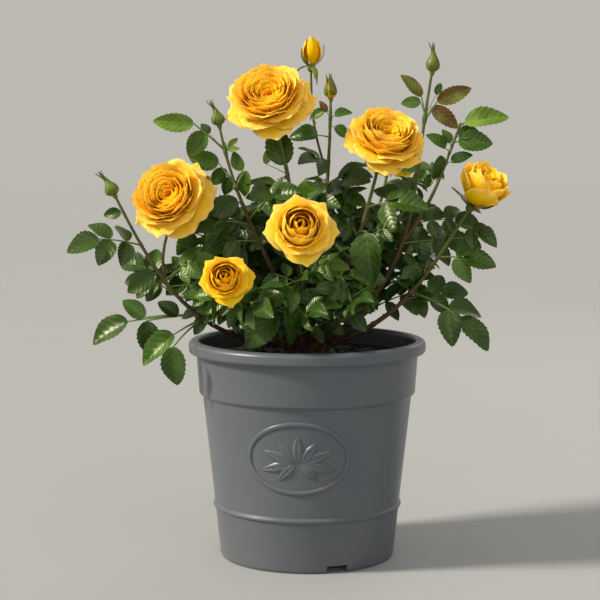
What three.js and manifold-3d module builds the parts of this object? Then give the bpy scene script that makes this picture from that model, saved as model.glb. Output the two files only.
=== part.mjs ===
// A patio rose in a round plastic pot: canes fan out from one short stock, carry pinnate leaves and end
// in double yellow blooms and buds. Millimetres, +Z up, the centre of the pot's underside on the origin,
// and the side with the medallion facing -Y. Turns are degrees about +Z from +X, rises degrees above
// the level.

import * as THREE from 'three';
import { mergeVertices } from 'three/addons/utils/BufferGeometryUtils.js';
import Module from 'manifold-3d';

const wasm = await Module();
wasm.setup();

const RIM_RADIUS = 120; // outer radius of the pot's lip, the size that the others follow
const POT_HEIGHT = 221;
const WALL = 3;
const SOIL_Z = 205; // top of the compost, 16 mm below the rim
const GAP = 0.3; // clearance between neighbouring pieces
const POT_SIDES = 36;
const STEP_Z = 164.5; // where the pot's body ends and its collar begins
const BEAD_Z = 53.5; // the bead round the pot's lower body

const MEDALLION = { turn: -95.4, z: 116.5, halfWidth: 50, halfHeight: 34.5 };
const MEDALLION_BEAD = { halfWidth: 2.6, height: 1.7, steps: 20 };
const FAN = { foot: -5, spread: 3, relief: 1.9 };
// The fan's paired leaves as [rise, length, width], and the upright one
const FAN_PAIRS = [
  [54, 27, 11],
  [22, 34, 12],
  [-12, 36, 11],
  [-46, 24, 10],
];
const FAN_UPRIGHT = [90, 28, 12];
const NOTCH = { width: 21, height: 7.5, depth: 8, radius: 88, count: 3, firstTurn: -70.7 };

// The woody stock's rows from the soil up, as [radius, height] shares, and its lumps
const STOCK = { radius: 27, height: 20, sides: 15, lumps: 5, lumpDepth: 0.07, twist: 3 };
const STOCK_ROWS = [
  [1.12, 0],
  [1.02, 0.16],
  [0.86, 0.46],
  [0.62, 0.78],
  [0.32, 0.96],
];
const BEND = 0.42; // handle length of a cane's curve, as a share of its chord

// Each cane, from the stock to its flower: its foot as [distance from the axis, turn, height above the
// soil], its way out as [turn, rise], its tip, its way in, its radii at both ends, the share of it that
// is bare and the share where its flower's own stalk begins.
const CANES = {
  left: [[14, 185, 9], [190, 3], [-189, -45, 369], [192, 64], [3.4, 1.6], 0.34, 0.93],
  mid_left: [[10, 225, 14], [200, 72], [-87, -25, 437], [190, 79], [3.5, 1.5], 0.36, 0.95],
  centre: [[3, 200, 16], [200, 84], [-34, -8, 446], [180, 74], [3.3, 1.9], 0.36, 0.86],
  tall: [[9, 65, 15], [50, 80], [24, 30, 464], [60, 88], [3.4, 1.6], 0.34, 0.93],
  right_centre: [[12, 320, 13], [322, 62], [73, -24, 407], [30, 74], [3.3, 1.9], 0.36, 0.86],
  right: [[15, 10, 10], [5, 34], [125, 5, 490], [350, 80], [3.8, 1.6], 0.4, 0.94],
  far_right: [[18, 340, 8], [355, 20], [165, -10, 358], [0, 58], [3.4, 1.8], 0.34, 0.93],
  front: [[16, 275, 9], [272, 50], [-7, -86, 334], [270, 52], [3, 1.8], 0.38, 0.84],
  front_left: [[17, 243, 8], [232, 32], [-77, -99, 288], [238, 45], [3, 1.7], 0.4, 0.86],
  back_left: [[15, 135, 10], [148, 42], [-116, 88, 368], [130, 62], [3.2, 1.8], 0.36, 0.86],
  back: [[16, 95, 10], [95, 44], [-12, 126, 338], [90, 62], [3, 1.8], 0.38, 0.86],
  back_right: [[15, 48, 11], [48, 48], [88, 100, 396], [50, 70], [3.3, 1.8], 0.36, 0.86],
};

// A branch or a flower stalk that leaves a cane part-way up: the cane, the share of its length, the way
// out, the tip, the way in and the radii.
const FORKS = {
  upper_right: ['right', 0.44, [25, 48], [161, 30, 450], [330, 66], [2.6, 1.3]],
};
const SIDE_STALKS = {
  side_left: ['left', 0.62, [150, 70], [-127, -29, 355], [300, 40], [1.9, 1.9]],
  side_tall: ['tall', 0.7, [160, 70], [4, 34, 496], [90, 88], [1.6, 1.4]],
};

// Low leafy shoots from the foot of the stock that fill the crown above the rim, as [turn, reach, top]
const LOW_SHOOT = { footRadius: 22, footHeight: 5, launchRise: 40, arriveRise: 55, radii: [2.2, 1] };
const LOW_SHOOTS = {
  left_front: [208, 112, 272],
  front_low_left: [262, 98, 276],
  front_low_right: [297, 106, 284],
  right_front: [326, 104, 300],
  right_back: [24, 118, 296],
  back_low_right: [72, 120, 296],
  back_low_left: [116, 122, 304],
  left_back: [160, 124, 290],
};

// The open flowers, by the cane or stalk that carries each: its name, the way its face points, its
// radius and its form
const BLOOMS = {
  centre: ['bloom_top', [-0.12, -0.72, 0.69], 48, 'full'],
  side_left: ['bloom_left', [-0.32, -0.8, 0.5], 44, 'full'],
  right_centre: ['bloom_right', [0.1, -0.62, 0.78], 42, 'full'],
  front: ['bloom_front', [0, -0.87, 0.5], 36, 'high'],
  front_left: ['bloom_front_left', [-0.1, -0.86, 0.5], 26, 'high'],
  far_right: ['bloom_half_open', [0.5, -0.15, 0.85], 30, 'half'],
  back_left: ['bloom_back_left', [-0.5, 0.7, 0.5], 33, 'high'],
  back: ['bloom_back', [0, 0.85, 0.53], 33, 'high'],
  back_right: ['bloom_back_right', [0.3, 0.7, 0.65], 34, 'full'],
};

// The buds, likewise: name, lean, length, radius and how far the sepals' points pass its shoulder
const BUDS = {
  left: ['bud_left', [-0.45, 0, 0.9], 19, 6.8, 13],
  mid_left: ['bud_mid_left', [-0.22, 0, 1], 18, 6.6, 13],
  tall: ['bud_tall', [-0.05, 0, 1], 25, 6.4, 6],
  right: ['bud_right', [0.1, 0, 1], 22, 6.8, 12],
  side_tall: ['bud_top', [0.02, 0, 1], 31, 10.2, 5],
};
const BUD_ROWS = [
  [0, -0.08],
  [0.5, 0.08],
  [1, 0.4],
  [0.82, 0.7],
  [0, 1],
];

// The rings of petals of each flower form, from the outermost in. Lengths are shares of the flower's
// radius, and the angles off its axis are those at the petal's foot and tip.
const PETAL_RINGS = {
  full: [
    { count: 5, length: 1.12, width: 0.86, open: [36, 112], flat: 0.3 },
    { count: 5, length: 1.06, width: 0.72, open: [26, 84], flat: 0.2 },
  ],
  high: [
    { count: 5, length: 1.1, width: 0.84, open: [40, 112], flat: 0.3 },
    { count: 4, length: 1.02, width: 0.7, open: [24, 62], flat: 0.1 },
  ],
  half: [{ count: 4, length: 1.5, width: 0.66, open: [22, 50], flat: 0.1 }],
};
const PETAL_FOOT = { radius: 0.06, height: 0.07 };
const PETAL_OUTLINE = [[0, 0], [1, 0.7], [0.6, 0.94], [0, 1.02], [-0.6, 0.94], [-1, 0.7]];
const PETAL_MIDDLE = { along: 0.66, halfThickness: 0.8 };

// The flower's dense heart, from the base up, as [radius, height] shares of the flower's radius
const HEARTS = {
  full: [[0, 0], [0.26, 0.08], [0.5, 0.42], [0.44, 0.74], [0.22, 0.66], [0, 0.6]],
  high: [[0, 0], [0.26, 0.1], [0.38, 0.5], [0.24, 0.92], [0, 0.84]],
  half: [[0, 0], [0.34, 0.4], [0.38, 0.9], [0.18, 1.3], [0, 1.24]],
};
const HEART = { sides: 10, ruffle: 0.13 };
const CALYX = { size: 0.13, rows: [[0, -1.5], [1, -0.5], [0.9, 0.4], [0, 0.6]] };

const LEAFLET = { halfWidth: 0.37, fold: 0.1, widest: 0.45, droop: 0.28 };
const LEAF_STALK = 0.026; // radius of a leaf's stalk, as a share of its end leaflet's length
// A leaf's pairs of leaflets: their place on its stalk, their swing from it and their relative size
const LEAFLET_PAIRS = [
  [0.74, 52, 0.87],
  [0.36, 72, 0.74],
];

// Leaves that the crown's outline depends on, shoot by shoot: share of the shoot, turn, rise, length of
// the leaf's stalk, number of leaflets, length of the end leaflet and, where it hangs, its droop
const NAMED_LEAVES = {
  left: [
    [0.8, 205, 10, 44, 5, 34],
    [0.42, 215, 0, 80, 5, 38],
    [0.39, 234, -26, 52, 3, 37],
    [0.64, 265, 0, 38, 3, 36],
    [0.87, 70, 25, 28, 3, 27],
  ],
  mid_left: [
    [0.92, 205, 35, 40, 3, 38],
    [0.81, 235, 15, 42, 5, 34],
    [0.75, 322, 35, 38, 5, 30],
    [0.56, 235, 30, 35, 3, 40],
    [0.47, 246, 10, 36, 3, 34],
  ],
  centre: [
    [0.74, 268, 38, 30, 3, 34],
    [0.69, 235, 5, 30, 3, 36],
    [0.6, 320, 15, 30, 3, 30],
  ],
  tall: [
    [0.84, 190, 15, 26, 3, 26],
    [0.86, 290, 0, 24, 3, 26],
    [0.76, 237, 12, 24, 3, 28],
    [0.66, 300, 15, 32, 3, 38],
  ],
  right_centre: [
    [0.62, 280, 5, 32, 1, 48, 1.2],
    [0.55, 300, 10, 34, 3, 38],
    [0.76, 303, 16, 38, 3, 44],
    [0.8, 200, 35, 28, 3, 28],
  ],
  right: [
    [0.88, 350, 45, 28, 3, 34],
    [0.9, 200, 40, 25, 3, 30],
    [0.86, 320, 15, 30, 3, 34],
    [0.6, 330, 0, 36, 3, 32],
    [0.74, 30, 20, 30, 3, 30],
  ],
  upper_right: [
    [0.93, 340, 20, 24, 3, 38],
    [0.88, 320, -15, 30, 3, 36],
    [0.8, 205, 5, 26, 3, 30],
    [0.6, 320, -5, 40, 3, 32],
    [0.98, 100, 55, 22, 3, 28],
  ],
  far_right: [
    [0.9, 320, -10, 22, 3, 26],
    [0.73, 335, 5, 36, 3, 36],
    [0.83, 230, 5, 34, 3, 30],
    [0.5, 322, -14, 66, 5, 40],
  ],
  front: [
    [0.62, 235, -10, 40, 3, 42],
    [0.5, 262, -6, 34, 3, 42, 0.9],
  ],
};

// Leaves set by rule along a shoot: from one share of it to another, how many, and the length of the
// end leaflet. Each has five leaflets and stands a golden turn on from the last.
const SPIRAL_LEAVES = {
  left: [0.44, 0.76, 3, 35],
  mid_left: [0.42, 0.7, 3, 35],
  centre: [0.42, 0.64, 4, 35],
  tall: [0.4, 0.66, 4, 36],
  right_centre: [0.42, 0.66, 3, 35],
  right: [0.46, 0.8, 5, 36],
  far_right: [0.42, 0.7, 4, 34],
  front: [0.44, 0.74, 3, 33],
  front_left: [0.46, 0.76, 3, 33],
  back_left: [0.42, 0.82, 6, 37],
  back: [0.44, 0.8, 6, 37],
  back_right: [0.42, 0.82, 7, 37],
  upper_right: [0.15, 0.74, 4, 33],
};
const LOW_SPIRAL = [0.34, 1, 6, 35];
const SPIRAL = { turn: 137.5, jitter: 30, rise: 18, stalk: 40, leaflets: 5, smallest: 0.85, spread: 0.3 };
const SEED = { first: 411, step: 97 };

const MATERIALS = {
  pot: new THREE.MeshStandardMaterial({ color: '#6d7174', roughness: 0.42, metalness: 0.1 }),
  compost: new THREE.MeshStandardMaterial({ color: '#241a12', roughness: 0.95 }),
  bark: new THREE.MeshStandardMaterial({ color: '#5d5330', roughness: 0.7 }),
  leaf: new THREE.MeshStandardMaterial({ color: '#24481c', roughness: 0.35 }),
  petal: new THREE.MeshStandardMaterial({ color: '#f7bd22', roughness: 0.6 }),
  bud: new THREE.MeshStandardMaterial({ color: '#6f8a35', roughness: 0.55 }),
};

const radians = THREE.MathUtils.degToRad;
const UP = new THREE.Vector3(0, 0, 1);

// Seeded numbers from 0 to 1, the same in each run
function seeded(seed) {
  let state = seed;
  return () => {
    state = (state * 16807) % 2147483647;
    return state / 2147483647;
  };
}

// The unit vector with that turn and rise
function heading(turn, rise) {
  return new THREE.Vector3(1, 0, 0)
    .applyAxisAngle(new THREE.Vector3(0, -1, 0), radians(rise))
    .applyAxisAngle(UP, radians(turn));
}

// A geometry from points and triangles of their indices
function geometryOf(points, triangles) {
  return new THREE.BufferGeometry().setFromPoints(points).setIndex(triangles.flat());
}

// A closed geometry as a solid, turned the right way out
function solidOf(geometry) {
  const bare = geometry.clone();
  bare.deleteAttribute('normal');
  bare.deleteAttribute('uv');
  const merged = mergeVertices(bare, 1e-3);
  const index = Array.from(merged.index.array);
  const faces = [];
  for (let i = 0; i < index.length; i += 3) faces.push(index.slice(i, i + 3));
  const whole = faces.filter((face) => new Set(face).size === 3);
  const make = (list) =>
    new wasm.Manifold(
      new wasm.Mesh({
        numProp: 3,
        vertProperties: merged.getAttribute('position').array,
        triVerts: new Uint32Array(list.flat()),
      }),
    );
  const solid = make(whole);
  return solid.volume() > 0 ? solid : make(whole.map(([a, b, c]) => [a, c, b]));
}

// Parts fused into one body: its largest piece, with sealed hollows filled
function fused(parts) {
  const pieces = wasm.Manifold.union(parts).decompose();
  return pieces.reduce((best, piece) => (piece.volume() > best.volume() ? piece : best));
}

// Triangles between rings of points laid one after another, with a fan to close each end
function ringFaces(rings, sides, from = 0) {
  const triangles = [];
  for (let row = 0; row < rings - 1; row++) {
    for (let k = 0; k < sides; k++) {
      const a = from + row * sides + k;
      const b = from + row * sides + ((k + 1) % sides);
      triangles.push([a, b, b + sides], [a, b + sides, a + sides]);
    }
  }
  return triangles;
}

// A turned solid from [radius, height] pairs that start and end on the axis
function turned(profile, sides, matrix = new THREE.Matrix4()) {
  const points = profile.map(([radius, height]) => new THREE.Vector2(radius, height));
  const lathe = new THREE.LatheGeometry(points, sides).rotateX(Math.PI / 2);
  return solidOf(lathe.applyMatrix4(matrix));
}

// A round limb along a curve between two shares of its length, with its radius at each share
function limb(curve, from, to, radiusAt, sides, steps) {
  const chord = curve.getPoint(1).sub(curve.getPoint(0));
  const reference = new THREE.Vector3(-chord.y, chord.x, 0);
  if (reference.length() < 1e-3) reference.set(1, 0, 0);
  const points = [];
  for (let i = 0; i <= steps; i++) {
    const share = from + ((to - from) * i) / steps;
    const along = curve.getTangent(share);
    const across = new THREE.Vector3().crossVectors(reference, along).normalize();
    for (let k = 0; k < sides; k++) {
      const spoke = across.clone().applyAxisAngle(along, (2 * Math.PI * k) / sides);
      points.push(curve.getPoint(share).addScaledVector(spoke, radiusAt(share)));
    }
  }
  const triangles = ringFaces(steps + 1, sides);
  const top = steps * sides;
  for (let k = 1; k < sides - 1; k++) {
    triangles.push([0, k + 1, k], [top, top + k, top + k + 1]);
  }
  return solidOf(geometryOf(points, triangles));
}

// The curve of a cane, branch or stalk from its foot, its way out, its tip and its way in
function caneCurve(foot, launch, tip, arrive) {
  const end = new THREE.Vector3(...tip);
  const handle = BEND * foot.distanceTo(end);
  return new THREE.CubicBezierCurve3(
    foot,
    foot.clone().addScaledVector(heading(...launch), handle),
    end.clone().addScaledVector(heading(...arrive), -handle),
    end,
  );
}

const taper =
  ([thick, thin]) =>
  (share) =>
    THREE.MathUtils.lerp(thick, thin, share);

// The pot's section, up the outside and down the inside
function potSection() {
  return [
    [0, 0],
    [86.5, 0],
    [88.2, 2.5],
    [93.4, BEAD_Z - 2.5],
    [95.4, BEAD_Z],
    [93.9, BEAD_Z + 2.5],
    [105.7, STEP_Z],
    [109.4, STEP_Z + 4],
    [112.2, POT_HEIGHT - 12.4],
    [RIM_RADIUS - 1, POT_HEIGHT - 12.4],
    [RIM_RADIUS, POT_HEIGHT - 10],
    [RIM_RADIUS, POT_HEIGHT - 3.5],
    [RIM_RADIUS - 2.6, POT_HEIGHT],
    [RIM_RADIUS - 9.4, POT_HEIGHT],
    [109.2, SOIL_Z],
    [109.4 - WALL, STEP_Z + 4],
    [105.7 - WALL, STEP_Z],
    [85.4, WALL + 1],
    [0, WALL + 1],
  ];
}

// A point of the medallion, from its place on the oval and how far it stands out of the wall
function onBody(across, up, out) {
  const z = MEDALLION.z + up;
  const radius = THREE.MathUtils.mapLinear(z, BEAD_Z + 2.5, STEP_Z, 93.9, 105.7);
  const turn = radians(MEDALLION.turn) + across / radius;
  return new THREE.Vector3((radius + out) * Math.cos(turn), (radius + out) * Math.sin(turn), z);
}

// The raised oval bead round the medallion, its foot sunk in the wall
function medallionBead() {
  const { halfWidth, height, steps } = MEDALLION_BEAD;
  const section = [
    [-halfWidth, -1.4],
    [0, height],
    [halfWidth, -1.4],
  ];
  const points = [];
  for (let i = 0; i <= steps; i++) {
    const angle = (2 * Math.PI * i) / steps;
    for (const [outward, out] of section) {
      const across = (MEDALLION.halfWidth + outward) * Math.cos(angle);
      const up = (MEDALLION.halfHeight + outward) * Math.sin(angle);
      points.push(onBody(across, up, out));
    }
  }
  return solidOf(geometryOf(points, ringFaces(steps + 1, section.length)));
}

const KITE_FACES = [
  [0, 1, 4],
  [1, 2, 4],
  [2, 3, 4],
  [3, 0, 4],
  [1, 0, 5],
  [2, 1, 5],
  [3, 2, 5],
  [0, 3, 5],
];

// One raised leaf of the medallion's fan, from its foot along a rise on the oval
function reliefLeaf(x, rise, length, width) {
  const [cos, sin] = [Math.cos(radians(rise)), Math.sin(radians(rise))];
  const place = (along, side, out) =>
    onBody(x + along * cos - side * sin, FAN.foot + along * sin + side * cos, out);
  const middle = 0.45 * length;
  const points = [
    place(0, 0, 0.2),
    place(middle, width / 2, 0.2),
    place(length, 0, 0.2),
    place(middle, -width / 2, 0.2),
    place(middle, 0, FAN.relief),
    place(middle, 0, -1.6),
  ];
  return solidOf(geometryOf(points, KITE_FACES));
}

// The medallion's fan: leaves in pairs that spread from the middle, and one upright
function reliefFan() {
  const pairs = FAN_PAIRS.flatMap(([rise, length, width]) => [
    reliefLeaf(FAN.spread, rise, length, width),
    reliefLeaf(-FAN.spread, 180 - rise, length, width),
  ]);
  return [reliefLeaf(0, ...FAN_UPRIGHT), ...pairs];
}

// The notches in the pot's bottom edge that let water out
function drainNotches() {
  return Array.from({ length: NOTCH.count }, (_, i) => {
    const box = new THREE.BoxGeometry(2 * NOTCH.depth, NOTCH.width, 2 * NOTCH.height);
    box.translate(NOTCH.radius, 0, 0);
    return solidOf(box.rotateZ(radians(NOTCH.firstTurn + (360 * i) / NOTCH.count)));
  });
}

function makePot() {
  const raised = wasm.Manifold.union([turned(potSection(), POT_SIDES), medallionBead(), ...reliefFan()]);
  return fused([drainNotches().reduce((pot, notch) => pot.subtract(notch), raised)]);
}

function makeCompost() {
  const profile = [
    [0, WALL + 1 + GAP],
    [84.6, WALL + 1 + GAP],
    [101.9, STEP_Z],
    [105.5, STEP_Z + 4.3],
    [108, SOIL_Z - 2.5],
    [70, SOIL_Z - 0.8],
    [STOCK.radius + 6, SOIL_Z],
    [0, SOIL_Z],
  ];
  return turned(profile, POT_SIDES / 2);
}

// The woody stock: a low lumpy dome that flares at the soil, grown by a margin to cut the canes clear
function makeStock(margin) {
  const { radius, height, sides, lumps, lumpDepth, twist } = STOCK;
  const foot = SOIL_Z + GAP;
  const points = STOCK_ROWS.flatMap(([wide, high]) =>
    Array.from({ length: sides }, (_, k) => {
      const angle = (2 * Math.PI * k) / sides;
      const r = wide * radius * (1 + lumpDepth * Math.cos(lumps * angle + twist * high)) + margin;
      const z = foot + high * height + (high === 0 ? -margin : margin);
      return new THREE.Vector3(r * Math.cos(angle), r * Math.sin(angle), z);
    }),
  );
  const last = points.length - sides;
  points.push(new THREE.Vector3(0, 0, foot - margin), new THREE.Vector3(0, 0, foot + height + margin));
  const triangles = ringFaces(STOCK_ROWS.length, sides);
  for (let k = 0; k < sides; k++) {
    const next = (k + 1) % sides;
    triangles.push([points.length - 2, next, k], [last + k, last + next, points.length - 1]);
  }
  return solidOf(geometryOf(points, triangles));
}

// The matrix that stands a flower's own frame on a base point with its +Z along an axis
function standing(base, axis) {
  const turn = new THREE.Quaternion().setFromUnitVectors(UP, new THREE.Vector3(...axis).normalize());
  return new THREE.Matrix4().compose(base, turn, new THREE.Vector3(1, 1, 1));
}

// A petal's point in its flower's own frame: across from -1 to 1, along from 0 at the foot to 1 at the
// tip. Its middle line is an arc, and its section wraps round the flower's axis.
function petalPoint(petal, across, along, lift) {
  const [start, end] = petal.open.map(radians);
  const bend = end - start;
  const lean = start + bend * along;
  const reach = petal.foot + (petal.length * (Math.cos(start) - Math.cos(lean))) / bend;
  const rise = petal.rise + (petal.length * (Math.sin(lean) - Math.sin(start))) / bend;
  const wrap = Math.max(reach, petal.width * 0.35) + petal.flat;
  const angle = (across * petal.width) / 2 / wrap;
  return new THREE.Vector3(
    reach - wrap + wrap * Math.cos(angle) - lift * Math.cos(lean),
    wrap * Math.sin(angle),
    rise + lift * Math.sin(lean),
  );
}

// A petal as a thin blade, narrow at the foot and broad at the tip, thickest in the middle
function petalSolid(petal, turn, matrix) {
  const { along, halfThickness } = PETAL_MIDDLE;
  const points = PETAL_OUTLINE.map(([u, v]) => petalPoint(petal, u, v, 0));
  points.push(petalPoint(petal, 0, along, halfThickness), petalPoint(petal, 0, along, -halfThickness));
  const edge = PETAL_OUTLINE.length;
  const triangles = PETAL_OUTLINE.flatMap((_, i) => {
    const next = (i + 1) % edge;
    return [
      [i, next, edge],
      [next, i, edge + 1],
    ];
  });
  const geometry = geometryOf(points, triangles).rotateZ(radians(turn));
  return solidOf(geometry.applyMatrix4(matrix));
}

// The heart as a turned solid whose upper rows are ruffled in and out, each row against the last
function heartSolid(rows, size, matrix) {
  const { sides, ruffle } = HEART;
  const rings = rows.slice(1, -1);
  const points = rings.flatMap(([radius, height], row) =>
    Array.from({ length: sides }, (_, k) => {
      const wave = row === 0 ? 0 : ruffle * (-1) ** (k + row);
      return heading((360 * k) / sides, 0)
        .multiplyScalar(radius * size * (1 + wave))
        .setZ(height * size);
    }),
  );
  const last = points.length - sides;
  points.push(new THREE.Vector3(0, 0, rows[0][1] * size));
  points.push(new THREE.Vector3(0, 0, rows[rows.length - 1][1] * size));
  const triangles = ringFaces(rings.length, sides);
  for (let k = 0; k < sides; k++) {
    const next = (k + 1) % sides;
    triangles.push([points.length - 2, next, k], [last + k, last + next, points.length - 1]);
  }
  return solidOf(geometryOf(points, triangles).applyMatrix4(matrix));
}

function bloomSolids([, axis, radius, form], base) {
  const matrix = standing(base, axis);
  const calyx = CALYX.rows.map(([r, z]) => [r * CALYX.size * radius, z * CALYX.size * radius]);
  const petals = PETAL_RINGS[form].flatMap((ring, row) => {
    const petal = {
      length: ring.length * radius,
      width: ring.width * radius,
      open: ring.open,
      flat: ring.flat * radius,
      foot: PETAL_FOOT.radius * radius,
      rise: PETAL_FOOT.height * radius,
    };
    return Array.from({ length: ring.count }, (_, k) =>
      petalSolid(petal, (360 * (k + 0.5 * row)) / ring.count, matrix),
    );
  });
  return [turned(calyx, 5, matrix), heartSolid(HEARTS[form], radius, matrix), ...petals];
}

// One narrow sepal that stands along a bud's side, from its shoulder past its point
function sepalSolid(length, radius, reach, turn, matrix) {
  const points = [
    new THREE.Vector3(radius * 0.5, 0, length * 0.35),
    new THREE.Vector3(radius * 0.9, 1.4, length * 0.55),
    new THREE.Vector3(radius * 0.9, -1.4, length * 0.55),
    new THREE.Vector3(radius * 1.12, 0, length * 0.55),
    new THREE.Vector3(radius * 0.75, 0, length * 0.72 + reach),
  ];
  const faces = [
    [0, 2, 1],
    [0, 1, 3],
    [0, 3, 2],
    [1, 2, 4],
    [3, 1, 4],
    [2, 3, 4],
  ];
  return solidOf(geometryOf(points, faces).rotateZ(radians(turn)).applyMatrix4(matrix));
}

function budSolids([, axis, length, radius, sepal], base) {
  const matrix = standing(base, axis);
  const profile = BUD_ROWS.map(([r, z]) => [r * radius, z * length]);
  const sepals = Array.from({ length: 5 }, (_, k) =>
    sepalSolid(length, radius, sepal, 72 * k + 20, matrix),
  );
  return [turned(profile, 6, matrix), ...sepals];
}

// The way a leaf's upper face looks: up, and out to the nearer of the front and the back
function lightAt(point) {
  const side = point.y > 22 ? 1 : -1;
  return new THREE.Vector3(point.x / 380 - 0.1, 0.82 * side, 0.55).normalize();
}

// A pinnate leaf: the line of its stalk, its upper face and its leaflets. A leaflet has the share of the
// stalk where it sits and its side, 1 for left and -1 for right seen from above with the tip ahead.
function pinnateLeaf(base, turn, rise, length, count, size, droop = LEAFLET.droop) {
  const out = heading(turn, rise);
  const light = lightAt(base.clone().addScaledVector(out, length));
  const face = light.clone().addScaledVector(out, -light.dot(out)).normalize();
  const left = new THREE.Vector3().crossVectors(face, out);
  const radius = LEAF_STALK * size;
  const leaflet = (share, swing, leafletLength, side) => {
    const along = out.clone().applyAxisAngle(face, radians(side * swing));
    along.z -= droop;
    along.normalize();
    const upper = face.clone().addScaledVector(along, -face.dot(along)).normalize();
    const rear = new THREE.Vector3().crossVectors(upper, along).multiplyScalar(side);
    const foot = base.clone().addScaledVector(out, share * length);
    if (share < 1) foot.addScaledVector(left, side * radius);
    return { share, side, foot, along, face: upper, rear, length: leafletLength };
  };
  const pairs = LEAFLET_PAIRS.slice(0, (count - 1) / 2).flatMap(([share, swing, scale]) => [
    leaflet(share, swing, size * scale, 1),
    leaflet(share, swing, size * scale, -1),
  ]);
  return { base, out, face, left, length, radius, leaflets: [leaflet(1, 0, size, 1), ...pairs] };
}

// A blade's rear corner, front corner and tip, its corners raised; rear is the side by the leaf's base
function bladePoints({ foot, along, face, rear, length }, margin) {
  const middle = foot
    .clone()
    .addScaledVector(along, length * LEAFLET.widest)
    .addScaledVector(face, length * LEAFLET.fold);
  const halfWidth = length * LEAFLET.halfWidth + margin;
  return [
    middle.clone().addScaledVector(rear, halfWidth),
    middle.clone().addScaledVector(rear, -halfWidth),
    foot.clone().addScaledVector(along, length + margin),
  ];
}

// A blade on its own, thicker than the real one by a margin, to find what it would touch
function bladeGuard(leaflet, margin) {
  const { foot, along, face, length } = leaflet;
  const [rear, front, tip] = bladePoints(leaflet, margin);
  const middle = foot.clone().addScaledVector(along, length * LEAFLET.widest);
  const points = [
    foot.clone().addScaledVector(along, 1),
    rear,
    tip,
    front,
    middle.clone().addScaledVector(face, 0.2 + margin),
    middle.clone().addScaledVector(face, -0.5 - margin),
  ];
  return solidOf(geometryOf(points, KITE_FACES));
}

// A leaf's stalk on its own, thicker than the real one by a margin
function stalkGuard({ base, out, length, radius }, margin) {
  const line = new THREE.LineCurve3(base, base.clone().addScaledVector(out, length));
  return limb(line, 0, 1, () => 1.2 * radius + margin, 4, 1);
}

// A leaf as one closed solid: a three-sided stalk whose upper edges open out into the blades' feet
function leafSolid(leaf, leaflets) {
  const { base, out, face, left, length, radius } = leaf;
  const points = [];
  const triangles = [];
  const add = (point) => points.push(point) - 1;
  const place = (share, sideways, down) => {
    const point = base.clone().addScaledVector(out, share * length);
    return add(point.addScaledVector(left, sideways * radius).addScaledVector(face, -down * radius));
  };
  // Triangles as seen from outside on the left of the leaf, turned round for its right
  const put = (side, list) => triangles.push(...list.map(([a, b, c]) => (side > 0 ? [a, b, c] : [a, c, b])));
  const halfFoot = 0.5 / length;

  // A station is one place along the stalk: its lower edge, and what its two upper edges carry there
  const sideBlade = (share, side, keel) => {
    const blade = leaflets.find((l) => l.share === share && l.side === side && share < 1);
    if (!blade) return [place(share, side, 0)];
    const p = place(share - halfFoot, side, 0);
    const q = place(share + halfFoot, side, 0);
    const under = place(share, 0.6 * side, 0.85);
    const [rear, front, tip] = bladePoints(blade, 0).map(add);
    put(side, [[p, q, tip], [q, front, tip], [p, tip, rear], [p, under, keel], [under, q, keel]]);
    put(side, [[under, p, rear], [under, rear, tip], [under, tip, front], [under, front, q]]);
    return [p, q];
  };
  const pairShares = leaflets.filter((l) => l.share < 1).map((l) => l.share);
  const shares = [0, ...[...new Set(pairShares)].sort(), 1];
  const stations = shares.map((share) => {
    const keel = place(share, 0, 1.3);
    const [lefts, rights] = [1, -1].map((side) => sideBlade(share, side, keel));
    if (lefts.length > 1) put(1, [[rights[0], lefts[1], lefts[0]]]);
    if (rights.length > 1) put(1, [[rights[0], rights[1], lefts.at(-1)]]);
    return { keel, lefts, rights };
  });
  for (let i = 0; i < stations.length - 1; i++) {
    const [a, b] = [stations[i], stations[i + 1]];
    const [l0, l1, r0, r1] = [a.lefts.at(-1), b.lefts[0], a.rights.at(-1), b.rights[0]];
    put(1, [[r0, r1, l1], [r0, l1, l0], [l0, l1, b.keel], [l0, b.keel, a.keel]]);
    put(1, [[r1, r0, a.keel], [r1, a.keel, b.keel]]);
  }
  const [first, end] = [stations[0], stations.at(-1)];
  put(1, [[first.lefts[0], first.keel, first.rights[0]]]);
  const [l, r, keel] = [end.lefts[0], end.rights[0], end.keel];
  const terminal = leaflets.find(({ share }) => share === 1);
  if (terminal) {
    const [rear, front, tip] = bladePoints(terminal, 0).map(add);
    put(1, [[l, tip, rear], [l, r, tip], [r, front, tip], [keel, l, rear], [keel, front, r]]);
    put(1, [[keel, rear, tip], [keel, tip, front]]);
  } else {
    put(1, [[l, r, keel]]);
  }
  return solidOf(geometryOf(points, triangles));
}

// The leaves that the rule sets along a shoot
function spiralLeaves(curve, [from, to, count, size], random) {
  const firstTurn = 360 * random();
  return Array.from({ length: count }, (_, i) => {
    const share = from + ((to - from) * (i + 0.3)) / count;
    const turn = firstTurn + SPIRAL.turn * i + SPIRAL.jitter * (random() - 0.5);
    const rise = SPIRAL.rise + SPIRAL.jitter * (random() - 0.5);
    const scale = SPIRAL.smallest + SPIRAL.spread * random();
    const stalk = SPIRAL.stalk * scale;
    return pinnateLeaf(curve.getPoint(share), turn, rise, stalk, SPIRAL.leaflets, size * scale);
  });
}

const rose = new THREE.Group();
const container = new THREE.Group();
const wood = new THREE.Group();
const flowers = new THREE.Group();
const foliage = new THREE.Group();
rose.add(container, wood, flowers, foliage);

// Solids that later leaves keep clear of
const obstacles = [];

function keepClearOf(solid) {
  obstacles.push({ solid, box: solid.boundingBox() });
}

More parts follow.
